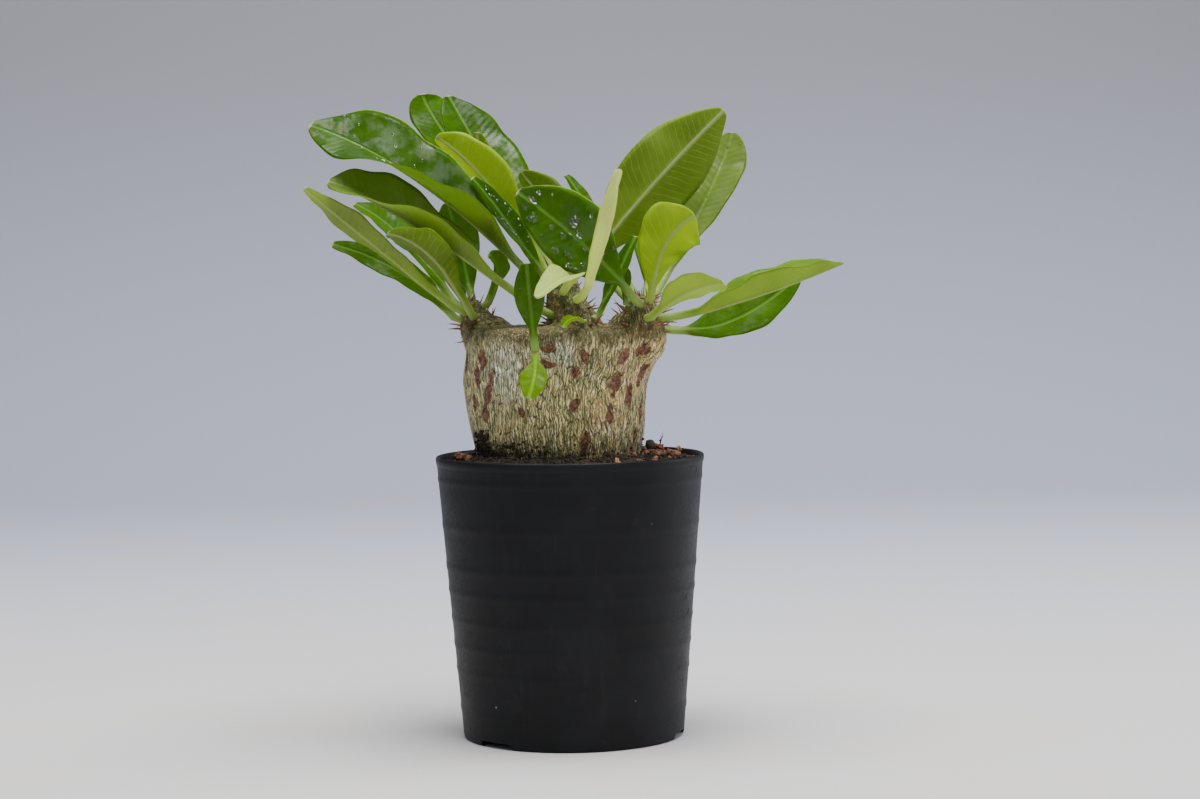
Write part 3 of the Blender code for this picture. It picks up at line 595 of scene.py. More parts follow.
def caudex_material():
    g = Graph("caudex_bark_skin", 0.7)
    mm = g.coordinates()
    place = g.node("SeparateXYZ", {0: mm})
    across = g.minus(place.outputs[0], WRINKLE_AXIS)
    around = g.math("ARCTAN2", g.math("DIVIDE", place.outputs[1], CAUDEX_DEPTH_RATIO), across)
    sway = g.minus(g.noise(g.coordinates((1, 1, 0.40)), 0.09, 2.0), 0.5)
    tangle = g.minus(g.noise(g.coordinates((1, 1, 0.42)), 0.44, 3.0, 0.65), 0.5)
    phase = g.math("MULTIPLY_ADD", around, WRINKLE_COUNT / math.tau, g.times(sway, 7.5))
    phase = g.plus(phase, g.times(tangle, 4.2))
    wave = g.math("ABSOLUTE", g.minus(g.math("FRACT", phase), 0.5))
    broken = g.noise(g.coordinates((1, 1, 0.36)), 0.80, 3.0, 0.6)
    crest = g.times(g.ramp(wave, 0.07, 0.35), g.ramp(broken, 0.36, 0.56, 0.25, 1.0))
    crepe = g.cells(g.coordinates((1, 1, 0.30)), 0.62, "DISTANCE_TO_EDGE")
    groove = g.times(g.ramp(crepe, 0.09, 0.0), g.ramp(broken, 0.62, 0.42))
    height = g.attribute("height")
    scar = g.attribute("scar")
    shade = g.attribute("shade")
    sunny = g.attribute("sunny")
    broad = g.noise(mm, 0.055, 3.0, 0.6)
    patch = g.noise(mm, 0.22, 4.0, 0.65)
    # Painted light: the pale skin is painted warmer and brighter towards the right, as if lit from that side.
    pale = g.mix(sunny, (0.92, 0.80, 0.38), (1.0, 0.78, 0.34))
    pale = g.mix(g.ramp(patch, 0.52, 0.70), pale, (0.96, 0.90, 0.62))
    pale = g.mix(g.attribute("silver"), pale, (0.96, 0.98, 0.82))
    # Painted light: the flesh is also painted warmer and brighter towards the right.
    flesh = g.mix(sunny, (0.29, 0.250, 0.085), (0.52, 0.31, 0.100))
    flesh = g.mix(g.ramp(broad, 0.42, 0.60), flesh, (0.185, 0.185, 0.070))
    flesh = g.mix(g.times(g.attribute("silver"), 0.6), flesh, (0.36, 0.39, 0.25))
    colour = g.mix(crest, flesh, pale)
    colour = g.mix(g.times(groove, 0.9), colour, (0.062, 0.046, 0.014))
    mossy = g.times(g.ramp(g.noise(mm, 0.13, 3.0, 0.6), 0.50, 0.66), 0.5)
    colour = g.mix(mossy, colour, g.mix(crest, (0.070, 0.095, 0.026), (0.46, 0.46, 0.20)))
    scab = g.times(shade, g.ramp(g.noise(mm, 0.55, 4.0, 0.7), 0.40, 0.60, 0.68, 1.0))
    crust = g.mix(g.ramp(patch, 0.40, 0.62), (0.045, 0.049, 0.008), (0.155, 0.145, 0.036))
    crust = g.mix(g.ramp(g.noise(mm, 0.8, 3.0), 0.55, 0.66), crust, (0.165, 0.060, 0.028))
    colour = g.mix(scab, colour, g.mix(g.ramp(height, 46.0, 52.0, 0.0, 0.7), crust, (0.120, 0.150, 0.030)))
    red = g.mix(g.ramp(g.noise(mm, 0.9, 4.0, 0.7), 0.38, 0.62), (0.120, 0.044, 0.022), (0.360, 0.175, 0.095))
    colour = g.mix(g.ramp(scar, 0.20, 0.55), colour, red)
    halo = g.times(g.ramp(scar, 0.01, 0.20), g.ramp(scar, 0.55, 0.25))
    rim = g.mix(g.ramp(g.noise(mm, 0.42, 2.0), 0.46, 0.56), (0.050, 0.026, 0.012), (0.66, 0.43, 0.20))
    colour = g.mix(g.times(halo, 0.75), colour, rim)
    blush = g.times(g.ramp(g.noise(mm, 0.075, 3.0, 0.5), 0.58, 0.72), 0.45)
    colour = g.mix(blush, colour, (0.30, 0.135, 0.065))
    dirt = g.times(g.ramp(height, 9.5, 0.5), g.ramp(g.noise(mm, 0.30, 4.0, 0.65), 0.34, 0.60))
    colour = g.mix(g.times(dirt, 0.92), colour, (0.026, 0.020, 0.010))
    g.base(colour)
    g.rough(g.ramp(crest, 0.0, 1.0, 0.85, 0.50))
    relief = g.minus(crest, g.times(groove, 0.7))
    relief = g.plus(relief, g.times(g.noise(mm, 2.4, 3.0), 0.30))
    relief = g.plus(relief, g.times(scab, g.times(patch, 1.8)))
    g.bump(relief, 0.75, 1.0)
    return g.material


VOXEL = 0.55


def build_caudex():
    parts = [capped_tube(trunk_rings(160, 110))] + [arm_tube(arm) for arm in ARMS]
    points, faces = join_parts(parts)
    item = link_mesh("caudex_body", points, faces, [caudex_material()], "caudex_bark")
    remesh = item.modifiers.new("fuse", "REMESH")
    remesh.mode = "VOXEL"
    remesh.voxel_size = VOXEL * MM
    blend = item.modifiers.new("blend", "SMOOTH")
    blend.factor = 0.5
    blend.iterations = 14
    bpy.context.view_layer.update()
    graph = bpy.context.evaluated_depsgraph_get()
    mesh = bpy.data.meshes.new_from_object(item.evaluated_get(graph))
    item.modifiers.clear()
    item.data = mesh
    shape_bark(item)
    mesh.shade_smooth()
    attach(item, "root")
    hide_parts("caudex")


# Silvery skin on the trunk's front: middle across, middle height, half width, half height
SILVER_PATCHES = ((-21.0, 30.0, 7.0, 8.5), (-3.0, 35.0, 6.0, 5.0))


def shape_bark(item):
    """Moves the fused body's surface into folds, scabs and scars and stores what the material needs."""
    mesh = item.data
    count = len(mesh.vertices)
    points = np.empty(count * 3)
    mesh.vertices.foreach_get("co", points)
    points = points.reshape(-1, 3) / MM
    normals = np.empty(count * 3)
    mesh.vertex_normals.foreach_get("vector", normals)
    normals = normals.reshape(-1, 3)
    warp = 0.75 * value_noise(points, 0.38, 4.0) + 0.30 * value_noise(points, 1.1, 5.0)
    scars = scar_depth(points, warp)
    height = points[:, 2] - POT_HEIGHT
    long_folds = 1.0 - np.abs(value_noise(points * (1, 1, 0.28), 0.42, 1.0))
    lumps = value_noise(points, 0.085, 2.0)
    scabs = value_noise(points, 0.75, 3.0)
    shoulder = smoothstep(35.5, 41.5, height + 2.6 * value_noise(points, 0.16, 6.0))
    # Painted light: a mask that grows towards the right, where the bark's colours are painted warmer and
    # brighter.
    sunny = smoothstep(-4.0, 20.0, points[:, 0] + 7.0 * value_noise(points, 0.06, 8.0))
    silver = np.zeros(count)
    for x, up, wide, tall in SILVER_PATCHES:
        away = ((points[:, 0] - x) / wide) ** 2 + ((height - up) / tall) ** 2
        silver += np.exp(-away) * (points[:, 1] < 0)
    silver = np.clip(silver * (0.9 + 0.8 * scabs), 0.0, 0.85)
    scars *= 1.0 - shoulder
    move = 0.40 * lumps + 0.34 * (long_folds - 0.8) + shoulder * 0.34 * scabs
    rim = np.exp(-(((scars - 0.2) / 0.12) ** 2)) * (scars > 0.01)
    move += -0.42 * smoothstep(0.3, 0.9, scars) + 0.22 * rim
    points = points + normals * move[:, None]
    mesh.vertices.foreach_set("co", (points * MM).ravel())
    marks = {"scar": scars, "shade": shoulder, "height": height, "sunny": sunny, "silver": silver}
    for name, values in marks.items():
        set_attribute(item, name, values)


def bark_point(angle, height, lift=0.0):
    """A point on the trunk's side, from the pot's rim upward."""
    rows = catmull([(r.height * CAUDEX_RISE, r.centre, r.share) for r in CAUDEX_RINGS], 200)
    at = np.interp(height, rows[:, 0], np.arange(len(rows)))
    _, centre, share = rows[int(at)]
    half = share * CAUDEX_WIDTH + lift
    a = math.radians(angle)
    return Vector((centre + half * math.cos(a), CAUDEX_DEPTH_RATIO * half * math.sin(a), POT_HEIGHT + height))


# ---- spines and buds


THORN_STEPS = (0.0, 0.12, 0.4, 0.7, 1.0)
THORN_SIDES = 6
SHOULDER_SPINES = 46


def thorn(root, heading, length, radius, curve, turn):
    """A slender curved spine with a needle tip."""
    across = heading.cross(Vector((0.3, 0.2, 1.0))).normalized()
    upward = across.cross(heading)
    bend = across * math.cos(turn) + upward * math.sin(turn)
    rings = []
    for t in THORN_STEPS:
        centre = root + heading * length * t + bend * curve * t * t
        size = radius * (1.0 - t) ** 0.8 * (1.25 if t == 0 else 1.0) + 0.03
        ring = []
        for a in np.arange(THORN_SIDES) * math.tau / THORN_SIDES:
            ring.append(tuple(centre + (across * math.cos(a) + upward * math.sin(a)) * size))
        rings.append(ring)
    return capped_tube(rings)


def spine_material():
    g = Graph("spine_horn", 0.5)
    mm = g.coordinates()
    along = g.attribute("along")
    colour = g.mix(g.ramp(g.noise(mm, 0.8, 2.0), 0.35, 0.65), (0.105, 0.036, 0.014), (0.30, 0.120, 0.045))
    colour = g.mix(g.ramp(along, 0.45, 0.9), colour, (0.070, 0.030, 0.016))
    g.base(g.mix(g.ramp(along, 0.25, 0.02), colour, (0.34, 0.24, 0.12)))
    g.bump(g.noise(mm, 4.0, 2.0), 0.08, 0.5)
    return g.material


# Arm, compass angle, drop below the arm's tip, rise and length of the longest spines
LONG_SPINES = (
    ("left", 205, 10.0, 8, 5.0), ("left", 160, 9.0, 15, 4.5), ("left", 196, 3.4, 40, 5.0),
    ("left", 300, 9.0, 20, 4.0), ("left", 30, 9.5, 30, 4.0), ("left", 250, 2.6, 62, 4.4),
    ("centre", 240, 14.0, 25, 4.5), ("centre", 255, 5.0, 58, 6.0), ("centre", 215, 3.5, 66, 6.5),
    ("centre", 285, 8.0, 50, 5.0), ("centre", 150, 14.5, 20, 4.5), ("centre", 330, 15.0, 25, 4.5),
    ("centre", 20, 15.5, 20, 4.5), ("centre", 75, 16.0, 20, 4.5), ("right", 235, 9.5, 20, 4.0),
    ("right", 222, 3.0, 74, 8.5), ("right", 250, 3.6, 66, 6.5), ("right", 200, 5.5, 48, 4.5),
    ("right", 320, 9.8, 10, 4.5), ("right", 350, 6.0, 25, 4.6), ("right", 12, 8.8, 5, 4.6),
    ("right", 150, 9.5, 25, 4.5), ("top", 200, 2.0, 40, 4.0), ("top", 330, 2.4, 45, 4.6),
    ("top", 285, 3.2, 20, 3.6),
)


def build_spines():
    """Spines on the arms, short ones on the trunk's shoulder and tufts at the growing tips."""
    source = random.Random(5)
    parts = []
    for arm, count in (("left", 26), ("centre", 34), ("right", 34), ("front", 6), ("top", 20)):
        reach = {"left": 10.5, "centre": 18.0, "right": 12.0, "front": 2.6, "top": 7.5}[arm]
        for _ in range(count):
            drop = reach * source.random() ** 0.8 + 0.3
            angle = source.uniform(0, 360)
            centre, radius, axis = arm_at(arm, drop)
            outward = direction(angle, 0)
            outward = (outward - axis * outward.dot(axis)).normalized()
            heading = (outward + axis * source.uniform(0.1, 1.1)).normalized()
            length = source.uniform(2.4, 5.6) * (0.6 if arm in ("front", "top") else 1.0)
            root = centre + outward * (radius - 0.9)
            thick = source.uniform(0.26, 0.44)
            curve = source.uniform(-0.9, 0.9)
            parts.append(thorn(root, heading, length, thick, curve, source.uniform(0, 6)))
    for arm, angle, drop, rise, length in LONG_SPINES:
        centre, radius, _ = arm_at(arm, drop)
        root = centre + direction(angle, 0) * (radius - 1.0)
        parts.append(thorn(root, direction(angle, rise), length + 1.0, 0.52, 0.8, 4.4))
    for arm, count in (("left", 14), ("centre", 22), ("right", 16), ("front", 9)):
        tip = Vector(arm_stations(arm)[-1][:3])
        for _ in range(count):
            heading = direction(source.uniform(0, 360), source.uniform(25, 85))
            length = source.uniform(1.6, 4.6) * (0.55 if arm == "front" else 1.0)
            aside = direction(source.uniform(0, 360), 0) * source.uniform(0.2, 1.6)
            root = tip + aside - Vector((0, 0, 1.0))
            thick = source.uniform(0.16, 0.34)
            parts.append(thorn(root, heading, length, thick, source.uniform(-0.8, 0.8), 1.0))
    for _ in range(SHOULDER_SPINES):
        angle = source.uniform(0, 360)
        root = bark_point(angle, source.uniform(37.5, 42.0), -0.6)
        heading = (direction(angle, 0) + Vector((0, 0, source.uniform(0.2, 1.6)))).normalized()
        parts.append(thorn(root, heading, source.uniform(1.2, 2.8), source.uniform(0.18, 0.30), 0.3, 1.0))
    points, faces = join_parts(parts)
    item = link_mesh("spines", points, faces, [spine_material()], "caudex_bark")
    along = np.tile(np.concatenate([np.repeat(THORN_STEPS, THORN_SIDES), (0.0, 1.0)]), len(parts))
    set_attribute(item, "along", along)
    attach(item, "root")


# ---- soil


# The trunk's ring at the rim's height, where the soil meets it
SOIL_RING = CAUDEX_RINGS[2]
SOIL_LEVELS = 22
SOIL_SIDES = 220
GRAIN_COUNT = 2300
FOOT_GRAINS = 240
CLOD_COUNT = 190
GRAVEL_COUNT = 150


def soil_height(place, angle):
    wall = POT_HEIGHT - SOIL_DROP
    bumps = math.sin(7 * angle + 3 * place) + math.sin(13 * angle - 5 * place)
    return wall + SOIL_MOUND * (1.0 - place) ** 1.3 + 0.22 * bumps


def soil_point(place, angle):
    """A point on the soil, from the trunk at place 0 to the pot's wall at place 1."""
    reach = SOIL_RING.share * CAUDEX_WIDTH - 0.8
    depth = CAUDEX_DEPTH_RATIO * reach
    inner = Vector((SOIL_RING.centre + reach * math.cos(angle), depth * math.sin(angle), 0.0))
    z = soil_height(place, angle)
    wall = pot_radius(z) - POT_WALL
    point = inner.lerp(Vector((wall * math.cos(angle), wall * math.sin(angle), 0.0)), place)
    point.z = z
    return point


def lump(source, centre, size, detail=1, flat=0.8, jagged=0.42):
    """An uneven grain of soil or pumice."""
    base, faces = SPHERES[detail]
    stretch = Vector((source.uniform(0.7, 1.3), source.uniform(0.65, 1.1), flat * source.uniform(0.7, 1.2)))
    spin = source.uniform(0, math.tau)
    turn = Matrix.Rotation(spin, 3, Vector((source.uniform(-1, 1), source.uniform(-1, 1), 1)))
    offset = Vector((source.uniform(0, 90), source.uniform(0, 90), 0))
    points = []
    for vertex in base:
        rough = 1.0 + jagged * noise.noise(vertex * 1.7 + offset)
        rough += 0.4 * jagged * noise.noise(vertex * 4.1 - offset)
        point = turn @ Vector((vertex.x * stretch.x, vertex.y * stretch.y, vertex.z * stretch.z))
        points.append(tuple(centre + point * (0.5 * size * rough)))
    return points, faces


def make_spheres():
    """Unit icospheres at three levels of detail."""
    spheres = []
    for level in (1, 2, 3):
        builder = bmesh.new()
        bmesh.ops.create_icosphere(builder, subdivisions=level, radius=1.0)
        points = [v.co.copy() for v in builder.verts]
        spheres.append((points, [tuple(v.index for v in f.verts) for f in builder.faces]))
        builder.free()
    return spheres


SPHERES = make_spheres()


def soil_material():
    g = Graph("soil_dark_mix", 0.92)
    mm = g.coordinates()
    grain = g.noise(mm, 1.1, 5.0, 0.7)
    colour = g.mix(g.ramp(grain, 0.35, 0.68), (0.010, 0.007, 0.005), (0.060, 0.038, 0.022))
    g.base(g.mix(g.ramp(g.noise(mm, 0.45, 3.0), 0.58, 0.7), colour, (0.085, 0.050, 0.028)))
    g.bump(g.plus(grain, g.noise(mm, 3.2, 3.0)), 0.5, 1.0)
    return g.material


def pumice_material():
    g = Graph("pumice_red", 0.9)
    mm = g.coordinates()
    tint = g.noise(mm, 0.21, 2.0)
    pores = g.cells(mm, 2.2)
    colour = g.mix(g.ramp(tint, 0.35, 0.62), (0.17, 0.055, 0.028), (0.36, 0.17, 0.10))
    colour = g.mix(g.ramp(pores, 0.28, 0.10), colour, (0.050, 0.020, 0.012))
    g.base(g.mix(g.ramp(g.noise(mm, 1.6, 3.0), 0.58, 0.72), colour, (0.48, 0.30, 0.20)))
    g.bump(g.plus(pores, g.noise(mm, 3.0, 3.0)), 0.35, 1.0)
    return g.material


def build_soil():
    """The soil's uneven surface with loose grains on it, against the trunk and up its left side."""
    source = random.Random(21)
    angles = np.arange(SOIL_SIDES) * math.tau / SOIL_SIDES
    rings = []
    for place in np.linspace(0.0, 1.0, SOIL_LEVELS):
        ring = []
        for a in angles:
            point = soil_point(place, a)
            point.z += 0.55 * noise.noise(point * 0.55) + 0.30 * noise.noise(point * 1.5)
            ring.append(tuple(point))
        rings.append(ring)
    for z in (POT_HEIGHT - 6.0, POT_FLOOR_TOP + 0.3):
        reach = pot_radius(z) - POT_WALL - 0.2
        rings.append([(reach * math.cos(a), reach * math.sin(a), z) for a in angles])
    inner = [(0.6 * x - 1.5, 0.6 * y, POT_HEIGHT - 9.0) for x, y, _ in rings[0]]
    grains = [capped_tube([inner] + rings)]
    for _ in range(GRAIN_COUNT):
        place = source.random() ** 0.8
        a = source.uniform(0, math.tau)
        point = soil_point(place * 0.985, a)
        size = source.uniform(0.5, 1.5)
        point.z += 0.20 * size
        grains.append(lump(source, point, size, 0))
    for _ in range(FOOT_GRAINS):
        angle = source.uniform(0, 360) if source.random() < 0.35 else source.gauss(226, 16)
        height = abs(source.gauss(0.0, 2.2)) + 0.6
        grains.append(lump(source, bark_point(angle, height, 0.1), source.uniform(0.5, 1.5), 0))
    for _ in range(CLOD_COUNT):
        height = 9.5 * source.random() ** 1.7
        clod = bark_point(source.gauss(213, 6), height, 0.2)
        grains.append(lump(source, clod, source.uniform(0.5, 1.7), 0))
    points, faces = join_parts(grains)
    soil = link_mesh("soil_bed", points, faces, [soil_material()], "soil_mix")
    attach(soil, "root")
    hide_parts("soil")
    build_pumice(source)
    build_litter()


def build_pumice(source):
    """The named granules in detail, and the finer gravel around them."""
    material = pumice_material()
    number = 1
    while f"granule_{number}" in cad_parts:
        low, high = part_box(f"granule_{number}")
        size = max(high - low) / MM
        points, faces = lump(source, (low + high) / 2 / MM, size * 0.90, 2, 0.85, 0.8)
        stone = link_mesh(f"granule_{number}_stone", points, faces, [material], "pumice")
        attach(stone, "root")
        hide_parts(f"granule_{number}")
        number += 1
    parts = []
    for _ in range(GRAVEL_COUNT):
        angle = source.gauss(20, 30) if source.random() < 0.75 else source.uniform(20, 200)
        place = source.uniform(0.10, 0.93)
        point = soil_point(place, math.radians(angle))
        size = source.uniform(0.5, 1.4) if source.random() < 0.78 else source.uniform(1.6, 3.4)
        point.z += 0.18 * size
        parts.append(lump(source, point, size, 1, 0.8, 0.9))
    gravel = link_mesh("pumice_gravel", *join_parts(parts), [material], "pumice")
    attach(gravel, "root")


def build_litter():
    """A dry twig and a dark bark chip on the soil."""
    g = Graph("dry_litter", 0.85)
    mm = g.coordinates()
    g.base(g.mix(g.ramp(g.noise(mm, 0.9, 3.0), 0.35, 0.65), (0.018, 0.012, 0.009), (0.085, 0.055, 0.035)))
    g.bump(g.noise(mm, 2.5, 3.0), 0.3, 1.0)
    source = random.Random(3)
    seat = soil_point(0.55, math.radians(28))
    twig = thorn(seat, Vector((0.12, 0.2, 1.0)).normalized(), 8.0, 0.42, 0.9, 2.0)
    fork = thorn(seat + Vector((0.3, 0.5, 4.4)), Vector((0.7, 0.1, 0.8)).normalized(), 2.4, 0.24, 0.2, 1.0)
    chip = lump(source, soil_point(0.42, math.radians(30)) + Vector((0, 0, 3.0)), 4.2, 1, 0.7)
    item = link_mesh("soil_litter", *join_parts([twig, fork, chip]), [g.material], "soil_mix")
    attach(item, "root")


# ---- leaves

LEAF_ROWS = 100
LEAF_COLUMNS = 23
UV_SCALE = 100.0
TOP_CENTRE = 0.25
UNDER_CENTRE = 0.75
STALK_GAP = 0.65
BASE_TAPER = 1.05
TIP_ROUNDING = 0.82
SKIN_HALF = 0.24
GLOW_SHARE = {"top": 0.38, "under": 0.50}


def leaf_seed(number):
    """A number of the leaf's own that shifts its waves."""
    return 1.7 * number + 0.9


def leaf_seat(leaf):
    """Where a leaf leaves its arm, and its way out."""
    centre, radius, axis = arm_at(leaf.arm, leaf.drop)
    outward = direction(leaf.angle, leaf.rise)
    if leaf.drop > 0:
        outward = (outward - axis * outward.dot(axis)).normalized()
    return centre + outward * (radius + STALK_GAP), outward


def leaf_curve(leaf, t):
    """Midrib points with their ahead, face and side ways at each t."""
    seat, outward = leaf_seat(leaf)
    tip = Vector(arm_stations(leaf.arm)[-1][:3]) + Vector(leaf.tip)
    control = (seat + tip) / 2 + Vector(leaf.bow) * 2
    base = np.array(seat)
    tip, control = np.array(tip), np.array(control)
    t = t[:, None]
    centre = base * (1 - t) ** 2 + control * 2 * t * (1 - t) + tip * t * t
    centre = centre - np.array(outward) * 2.0 * np.clip(1 - t / 0.05, 0, 1)
    ahead = (control - base) * (1 - t) + (tip - control) * t
    ahead /= np.linalg.norm(ahead, axis=1, keepdims=True)
    face = np.array(Vector(leaf.face).normalized())
    normal = face - ahead * (ahead @ face)[:, None]
    normal /= np.linalg.norm(normal, axis=1, keepdims=True)
    side = np.cross(ahead, normal)
    turn = np.radians(leaf.twist) * (t - 0.5)
    normal = normal * np.cos(turn) + side * np.sin(turn)
    side = np.cross(ahead, normal)
    return centre, ahead, normal, side


def blade_share(leaf, t):
    """The blade's width at t as a share of its greatest."""
    s = np.clip((t - leaf.petiole) / (1.0 - leaf.petiole), 0.0, 1.0)
    rising = np.sin(0.5 * np.pi * np.clip(s / leaf.widest, 0, 1)) ** BASE_TAPER
    closing = np.cos(0.5 * np.pi * np.clip((s - leaf.widest) / (1.0 - leaf.widest), 0, 1))
    falling = np.clip(closing, 0.0, 1.0) ** TIP_ROUNDING
    return np.where(s < leaf.widest, rising, falling)


def leaf_surface(leaf, t, u, seed):
    """Across, upper and lower places of both skins for each t and u, and the way from the midrib."""
    share = blade_share(leaf, t)
    petiole = PETIOLE_RADIUS * min(1.0, leaf.width / 9.0)
    half = petiole + (leaf.width / 2 - petiole) * share
    half = np.maximum(half * np.clip((1.0 - t) / 0.004, 0.25, 1.0), 0.22)
    flat = np.clip(1.6 * share, 0.0, 1.0)
    flat[t > 0.8] = 1.0
    fold = np.radians(leaf.fold_base + (leaf.fold_tip - leaf.fold_base) * t) * np.clip(2.5 * share, 0, 1)
    half, flat, fold, row = half[:, None], flat[:, None], fold[:, None], t[:, None]
    u = u[None, :]
    across = u * half
    length = np.abs(u) ** 1.12
    wave = 0.030 * leaf.width * np.sin(row * (15 + seed % 5) + np.where(u > 0, 0.0, 2.3) + seed)
    wave = wave + 0.012 * leaf.width * np.sin(row * 37 + seed * 3 + np.sign(u))
    x = across * np.cos(fold)
    lift = length * half * np.sin(fold) + wave * u**2 * flat * np.clip(share[:, None] * 1.5, 0, 1)
    rim = np.sqrt(np.clip(1.0 - np.abs(u) ** 2.2, 0.0, 1.0))
    groove = 0.30 * np.exp(-((across / 0.55) ** 2)) * (1 - 0.6 * row)
    keel = (1.05 - 0.75 * row) * np.exp(-(np.abs(across) / 0.75) ** 2.4)
    stalk = petiole * rim * (1 - flat)
    skin = SKIN_HALF * np.minimum(1, rim * 2.2)
    return x, lift + (stalk + flat * (skin - groove)), lift - (stalk + flat * (skin + keel)), across


def leaf_vertex(frame_rows, x, lift):
    """Points x to the side of the midrib and lift above it."""
    centre, _, normal, side = frame_rows
    return centre[:, None, :] + side[:, None, :] * x[..., None] + normal[:, None, :] * lift[..., None]


def leaf_mesh(leaf, seed):
    """Points, faces, corner UVs and material numbers of one thin closed leaf."""
    t = 1.0 - (1.0 - np.linspace(0, 1, LEAF_ROWS)) ** TIP_CROWDING
    spread = np.linspace(-1, 1, LEAF_COLUMNS)
    u = np.sign(spread) * np.abs(spread) ** 1.5
    rows = leaf_curve(leaf, t)
    x, over, under, across = leaf_surface(leaf, t, u, seed)
    top = leaf_vertex(rows, x, over)
    low = leaf_vertex(rows, x, under)[:, ::-1][:, 1:-1]
    loops = np.concatenate([top, low], axis=1)
    count = loops.shape[1]
    steps = np.linalg.norm(np.diff(rows[0], axis=0), axis=1)
    along = np.concatenate([[0], np.cumsum(steps)]) / UV_SCALE
    points, faces = capped_tube(loops)
    uvs, kinds = [], []
    for level in range(LEAF_ROWS - 1):
        for k in range(count):
            after = (k + 1) % count
            upper = k < LEAF_COLUMNS - 1
            kinds.append(0 if upper else 1)
            for row, column in ((level, k), (level, after), (level + 1, after), (level + 1, k)):
                column = column if column < LEAF_COLUMNS else 2 * LEAF_COLUMNS - 2 - column
                shift = TOP_CENTRE if upper else UNDER_CENTRE
                uvs += (shift + across[row, column] / UV_SCALE, along[row])
    for k in range(count):
        kinds += [1, 1]
        uvs += [UNDER_CENTRE, 0.0] * 3 + [UNDER_CENTRE, along[-1]] * 3
    margin = np.abs(np.concatenate([u, u[::-1][1:-1]]))
    edge = np.concatenate([np.tile(margin, LEAF_ROWS), [0, 1]])
    tip = np.concatenate([np.repeat(t, count), [0, 1]])
    return points, faces, uvs, kinds, edge, tip


Tone = namedtuple("Tone", "top top_light under glow gloss")
TONES = {
    "deep": Tone(
        top=(0.017, 0.060, 0.0010),
        top_light=(0.042, 0.112, 0.0030),
        under=(0.125, 0.175, 0.022),
        glow=(0.42, 0.62, 0.003),
        gloss=0.34,
    ),
    "fresh": Tone(
        top=(0.052, 0.150, 0.0030),
        top_light=(0.100, 0.225, 0.0080),
        under=(0.170, 0.255, 0.022),
        glow=(0.50, 0.68, 0.006),
        gloss=0.36,
    ),
    "lime": Tone(
        top=(0.100, 0.240, 0.0020),
        top_light=(0.160, 0.320, 0.0040),
        under=(0.270, 0.390, 0.012),
        glow=(0.74, 0.90, 0.008),
        gloss=0.40,
    ),
}
# The greyish green of young and blurred leaves, and how far each leaf takes it
PALE_SKIN = (0.76, 0.84, 0.28)
PALE_LEAVES = {
    "leaf_centre_9": 0.90,
    "leaf_centre_10": 0.50,
    "leaf_centre_2": 0.10,
    "leaf_right_4": 0.12,
    "leaf_right_6": 0.20,
    "leaf_right_7": 0.06,
    "leaf_left_1": 0.12,
}
# Each leaf's gloss, where it isn't the plain one
PLAIN_SHINE = 0.24
SHINY_LEAVES = {
    "leaf_centre_1": 0.62,
    "leaf_centre_2": 0.30,
    "leaf_centre_3": 0.14,
    "leaf_centre_4": 0.40,
    "leaf_front_1": 0.16,
    "leaf_right_3": 0.34,
    "leaf_right_4": 0.34,
    "leaf_right_7": 0.12,
    "leaf_right_8": 0.05,
}


def leaf_veins(g, centre):
    """Midrib, side vein and cell patterns from the leaf's own millimetre coordinates."""
    place = g.node("SeparateXYZ", {0: g.node("TexCoord").outputs["UV"]})
    x = g.times(g.minus(place.outputs[0], centre), UV_SCALE)
    y = g.times(place.outputs[1], UV_SCALE)
    away = g.math("ABSOLUTE", x)
    sway = g.times(g.minus(g.noise(g.coordinates(), 0.22, 2.0), 0.5), 1.6)
    phase = g.math("DIVIDE", g.plus(g.minus(y, g.times(away, 0.55)), sway), 2.5)
    vein = g.math("ABSOLUTE", g.minus(g.math("FRACT", phase), 0.5))
    line = g.ramp(vein, 0.11, 0.0)
    pillow = g.ramp(vein, 0.0, 0.5)
    midrib = g.ramp(away, 0.85, 0.35)
    return away, line, pillow, midrib


